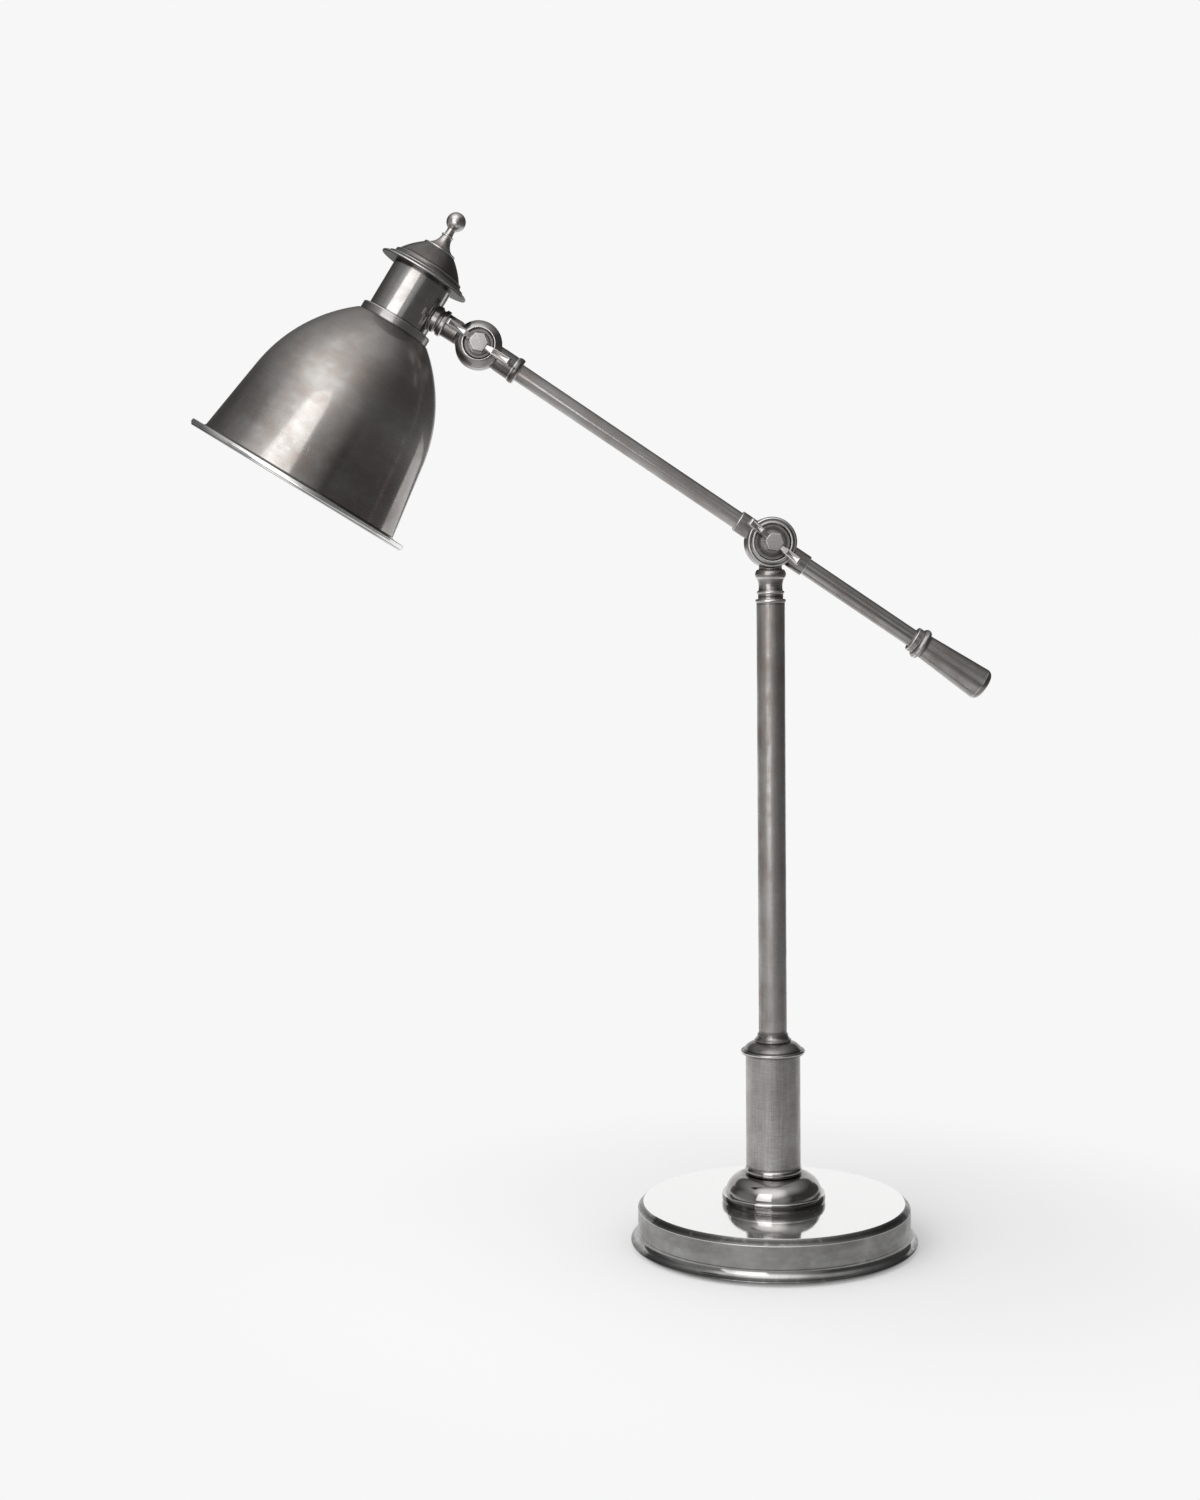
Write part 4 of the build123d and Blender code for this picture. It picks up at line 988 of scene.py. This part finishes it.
class LAMP_OT_holder(bpy.types.Operator):
    """Make the lamp holder: body, insulator, contact and threaded shell"""

    bl_idname = "lamp.holder"
    bl_label = "Lamp holder"

    def execute(self, context):
        sizes, tint = context.scene.lamp_sizes, colours()
        body = spun(HOLDER_OUTLINE, HEAD, edge=sizes.edge)
        finished("lamp_holder", body, plain(
            "lamp_holder", tint.moulded, rough=0.38, scale=1.6, depth=0.00008))
        disc = spun(INSULATOR_OUTLINE, HEAD, edge=sizes.edge)
        rivets = [HEAD @ Matrix.Translation((side * RIVET_OFFSET * MM, 0, 0)) for side in (1, -1)]
        finished("holder_insulator", fused([disc], [drill(*RIVET_BORE, place) for place in rivets]), plain(
            "holder_insulator", tint.ceramic, rough=0.25, scale=0.9, depth=0.00005, spread=0.08))
        contact = spun(CONTACT_OUTLINE, HEAD)
        finished("centre_contact", contact, plain(
            "centre_contact", tint.brass, metallic=1.0, rough=0.24, scale=1.2, depth=0.00005))
        finished("holder_shell", thread(sizes.thread_pitch, sizes.thread_depth), plain(
            "holder_shell", tint.brass, metallic=1.0, rough=0.24, scale=1.1, depth=0.00005))
        return {"FINISHED"}


def thread(pitch, depth):
    """Screw shell with a rolled thread: one turn's outline is wound up the shell and trimmed."""
    crest, wall, low, high = 13.95 * MM, 0.15 * MM, 67.3 * MM, 91.3 * MM
    rungs, turn_steps = 10, 64
    turns = math.ceil((high - low) / pitch) + 2
    steps = turn_steps * turns
    bm = bmesh.new()
    verts = []
    for i in range(rungs + 1):
        swell = (1 - math.cos(FULL_TURN * i / rungs)) / 2
        verts.append(bm.verts.new((crest - wall - depth * swell, 0, low - pitch + pitch * i / rungs)))
    wires = [bm.edges.new(pair) for pair in zip(verts, verts[1:])]
    bmesh.ops.spin(bm, geom=verts + wires, cent=(0, 0, 0), axis=(0, 0, 1), dvec=(0, 0, pitch * turns / steps),
                   angle=FULL_TURN * turns, steps=steps, use_merge=False)
    bmesh.ops.remove_doubles(bm, verts=bm.verts[:], dist=THREAD_WELD)
    for height, way in ((low, -1), (high, 1)):
        bmesh.ops.bisect_plane(bm, geom=bm.verts[:] + bm.edges[:] + bm.faces[:], plane_co=(0, 0, height),
                               plane_no=(0, 0, way), clear_outer=True)
    bmesh.ops.recalc_face_normals(bm, faces=bm.faces[:])
    bmesh.ops.solidify(bm, geom=bm.faces[:], thickness=wall)
    return placed(bm, HEAD)


class LAMP_OT_inner(bpy.types.Operator):
    """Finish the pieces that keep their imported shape: weight, felt, bush, fixings and washers"""

    bl_idname = "lamp.inner"
    bl_label = "Inner pieces"

    def execute(self, context):
        tint = colours()
        finishes = {
            "cast_iron": plain("cast_iron", tint.iron, metallic=0.6, rough=0.62, scale=0.8, depth=0.0004),
            "felt": plain("felt", tint.felt, rough=0.95, scale=2.6, depth=0.0005, spread=0.4, sheen=0.3),
            "rubber": plain("rubber", tint.rubber, rough=0.6, scale=1.5, depth=0.0001),
            "plain_steel": plain(
                "plain_steel", tint.steel, metallic=1.0, rough=0.3, scale=1.2, depth=0.00005),
            "fibre": plain("fibre", tint.fibre, rough=0.7, scale=1.8, depth=0.0001),
        }
        for node, slot in SLOT_OF.items():
            if slot in finishes:
                materials = frame["nodes"][node].data.materials
                materials.clear()
                materials.append(finishes[slot])
        return {"FINISHED"}


# Stage, in metres

FLOOR_RADIUS = 12.0
FLOOR_GREY = (0.88, 0.88, 0.88, 1.0)
CARD_WIDTH = 1.1
CARD_HEIGHT = 0.36
CARD_DISTANCE = 0.55
CAMERA_PLACE = Vector((-0.16307, -1.19139, 0.37100))
CAMERA_YAW = math.radians(3.154)
CAMERA_PITCH = math.radians(4.067)
CAMERA_ROLL = math.radians(-0.619)
SENSOR_WIDTH = 36.0


class LAMP_OT_stage(bpy.types.Operator):
    """Set the floor, the card, the world, the lights and the camera"""

    bl_idname = "lamp.stage"
    bl_label = "Stage"

    def execute(self, context):
        make_floor(context)
        make_card()
        make_world(context)
        make_lights(context)
        make_camera(context)
        context.scene.view_settings.view_transform = "Standard"
        return {"FINISHED"}


def make_floor(context):
    """Round pale floor with the lamp's shadow. Metal sees it as a white sweep that ends in a dim room."""
    bm = bmesh.new()
    bmesh.ops.create_circle(bm, cap_ends=True, segments=128, radius=FLOOR_RADIUS)
    floor = linked("floor", bm)
    look = Finish(bpy.data.materials.new("floor"))
    spot = look.node("ShaderNodeTexCoord", out="Object")
    x, y, _ = look.split(spot)
    distance = look.node("ShaderNodeVectorMath", {"operation": "LENGTH"}, {0: spot}, out=1)
    far = look.ease(distance, 0.09, 0.36)
    near = look.ease(distance, 0.9, 0.25)
    left = look.ease(x, 0.10, -0.25)
    back = look.ease(y, 0.02, 0.30) * look.ease(x, 0.75, 0.35) * look.ease(x, -1.2, -0.6)
    camera, glossy = look.rays()
    seen = 0.12 + near * 0.42 + left * 0.32
    level = camera * context.scene.lamp_stage.backdrop + (1 - camera) * (seen + back * (1.0 - seen))
    share = camera * (0.2 + far * 0.8) + glossy
    matte = look.node("ShaderNodeBsdfDiffuse", None, {"Color": FLOOR_GREY})
    mixed = look.node("ShaderNodeMixShader", None, {0: share, 1: matte, 2: look.glow(level)})
    floor.data.materials.append(look.closed(mixed))


def make_card():
    """Upright white card behind the lamp that only its polished faces see."""
    bm = bmesh.new()
    upright = Matrix.Rotation(math.pi / 2, 4, "X")
    bmesh.ops.create_grid(bm, x_segments=1, y_segments=1, size=0.5, matrix=upright)
    bmesh.ops.scale(bm, vec=(CARD_WIDTH, 1, CARD_HEIGHT), verts=bm.verts[:])
    bmesh.ops.translate(bm, vec=(0, CARD_DISTANCE, CARD_HEIGHT / 2), verts=bm.verts[:])
    card = linked("card", bm)
    look = Finish(bpy.data.materials.new("card"))
    card.data.materials.append(look.closed(look.glow(1.0)))
    card.visible_camera = False
    card.visible_diffuse = False
    card.visible_shadow = False


def make_world(context):
    """White backdrop behind the lamp, a dim room in front of it and an even fill on matte things."""
    stage = context.scene.lamp_stage
    world = bpy.data.worlds.new("studio")
    context.scene.world = world
    look = Finish(world)
    view = look.node("ShaderNodeTexCoord", out="Generated")
    x, y, z = look.split(view)

    def lobe(way, start, full):
        """Soft spot of light that comes from one way."""
        dot = {"operation": "DOT_PRODUCT"}
        return look.ease(look.node("ShaderNodeVectorMath", dot, {0: view, 1: way}, out="Value"), start, full)

    sides = look.ease(x, -0.3, 0.5, 0.9, 0.8)
    ceiling = look.ease(z, 0.42, 0.95) * look.ease(y, 0.5, -0.5, 0.38, 0.78)
    ceiling = ceiling * look.ease(x, 0.2, 0.9, 1.0, 0.6)
    edge = look.ease(y, 0.93, 0.97) * look.ease(x, 0.0, 0.06) * look.ease(z, 0.25, 0.12)
    front = lobe((-0.10, -0.95, 0.30), 0.70, 0.98)
    above = lobe((-0.20, -0.61, 0.77), 0.76, 1.0)
    beside = lobe((-0.97, -0.20, 0.10), 0.75, 0.98)
    mirrored = edge * stage.backdrop + stage.room * sides + front * stage.glow + ceiling
    mirrored = mirrored + above * stage.lift + beside * 0.25
    camera, glossy = look.rays()
    strength = camera * stage.backdrop + glossy * mirrored + (1 - camera - glossy) * stage.fill
    sky = look.node("ShaderNodeBackground", None, {"Color": WHITE, "Strength": strength})
    look.node("ShaderNodeOutputWorld", None, {0: sky})


def soft_light(context, name, place, target, width, height, level):
    """Rectangular soft light whose brightness is its own radiance."""
    data = bpy.data.lights.new(name, "AREA")
    data.shape = "RECTANGLE"
    data.size, data.size_y = width, height
    data.energy = level * math.pi * width * height
    lamp = bpy.data.objects.new(name, data)
    context.scene.collection.objects.link(lamp)
    lamp.location = place
    lamp.rotation_euler = (Vector(target) - Vector(place)).to_track_quat("-Z", "Y").to_euler()
    lamp.visible_camera = False
    return lamp


def make_lights(context):
    """Tall soft light at the front left, and one further left that metal doesn't see, for the shadow."""
    level = context.scene.lamp_stage.key
    soft_light(context, "key", place=(-0.577, -0.915, 0.60), target=(-0.19, 0, 0.58), width=0.72, height=1.0,
               level=level)
    shadow = soft_light(context, "shadow", place=(-0.75, -0.30, 0.75), target=(0.05, 0, 0), width=0.9,
                        height=0.9, level=level * 0.9)
    shadow.visible_glossy = False


def make_camera(context):
    """Camera at the front, a little above the base, at the lamp's left."""
    data = bpy.data.cameras.new("camera")
    data.sensor_width = SENSOR_WIDTH
    data.lens = context.scene.lamp_stage.lens
    data.clip_start, data.clip_end = 0.01, 50.0
    camera = bpy.data.objects.new("camera", data)
    context.scene.collection.objects.link(camera)
    level = math.cos(CAMERA_PITCH)
    ahead = Vector((math.sin(CAMERA_YAW) * level, math.cos(CAMERA_YAW) * level, -math.sin(CAMERA_PITCH)))
    right = Vector((math.cos(CAMERA_YAW), -math.sin(CAMERA_YAW), 0))
    side = right * math.cos(CAMERA_ROLL) + right.cross(ahead) * math.sin(CAMERA_ROLL)
    camera.matrix_world = axes(CAMERA_PLACE, -ahead, side)
    context.scene.camera = camera


class LAMP_PT_pieces(bpy.types.Panel):
    """The lamp's pieces in the sidebar"""

    bl_label = "Boom desk lamp"
    bl_idname = "LAMP_PT_pieces"
    bl_space_type = "VIEW_3D"
    bl_region_type = "UI"
    bl_category = "Lamp"

    def draw(self, context):
        for operator in OPERATORS:
            self.layout.operator(operator.bl_idname)
        for group in GROUPS:
            box = self.layout.box()
            owner = getattr(context.scene, group)
            for name in owner.__annotations__:
                box.prop(owner, name)


GROUPS = {"lamp_sizes": LampSizes, "lamp_finish": LampFinish, "lamp_stage": LampStage}
OPERATORS = (
    LAMP_OT_base, LAMP_OT_column, LAMP_OT_post_knuckle, LAMP_OT_head_knuckle, LAMP_OT_cups,
    LAMP_OT_knuckle_nuts, LAMP_OT_wing_screws, LAMP_OT_boom, LAMP_OT_shade, LAMP_OT_neck, LAMP_OT_holder,
    LAMP_OT_inner, LAMP_OT_stage,
)


def register():
    for cls in (*GROUPS.values(), *OPERATORS, LAMP_PT_pieces):
        bpy.utils.register_class(cls)
    for name, group in GROUPS.items():
        setattr(bpy.types.Scene, name, PointerProperty(type=group))


def unregister():
    for name in GROUPS:
        delattr(bpy.types.Scene, name)
    for cls in (LAMP_PT_pieces, *reversed(OPERATORS), *reversed(GROUPS.values())):
        bpy.utils.unregister_class(cls)


def main():
    register()
    bpy.ops.lamp.base()
    bpy.ops.lamp.column()
    bpy.ops.lamp.post_knuckle()
    bpy.ops.lamp.head_knuckle()
    bpy.ops.lamp.cups()
    bpy.ops.lamp.knuckle_nuts()
    bpy.ops.lamp.wing_screws()
    bpy.ops.lamp.boom()
    bpy.ops.lamp.shade()
    bpy.ops.lamp.neck()
    bpy.ops.lamp.holder()
    bpy.ops.lamp.inner()
    bpy.ops.lamp.stage()


if __name__ == "__main__":
    main()
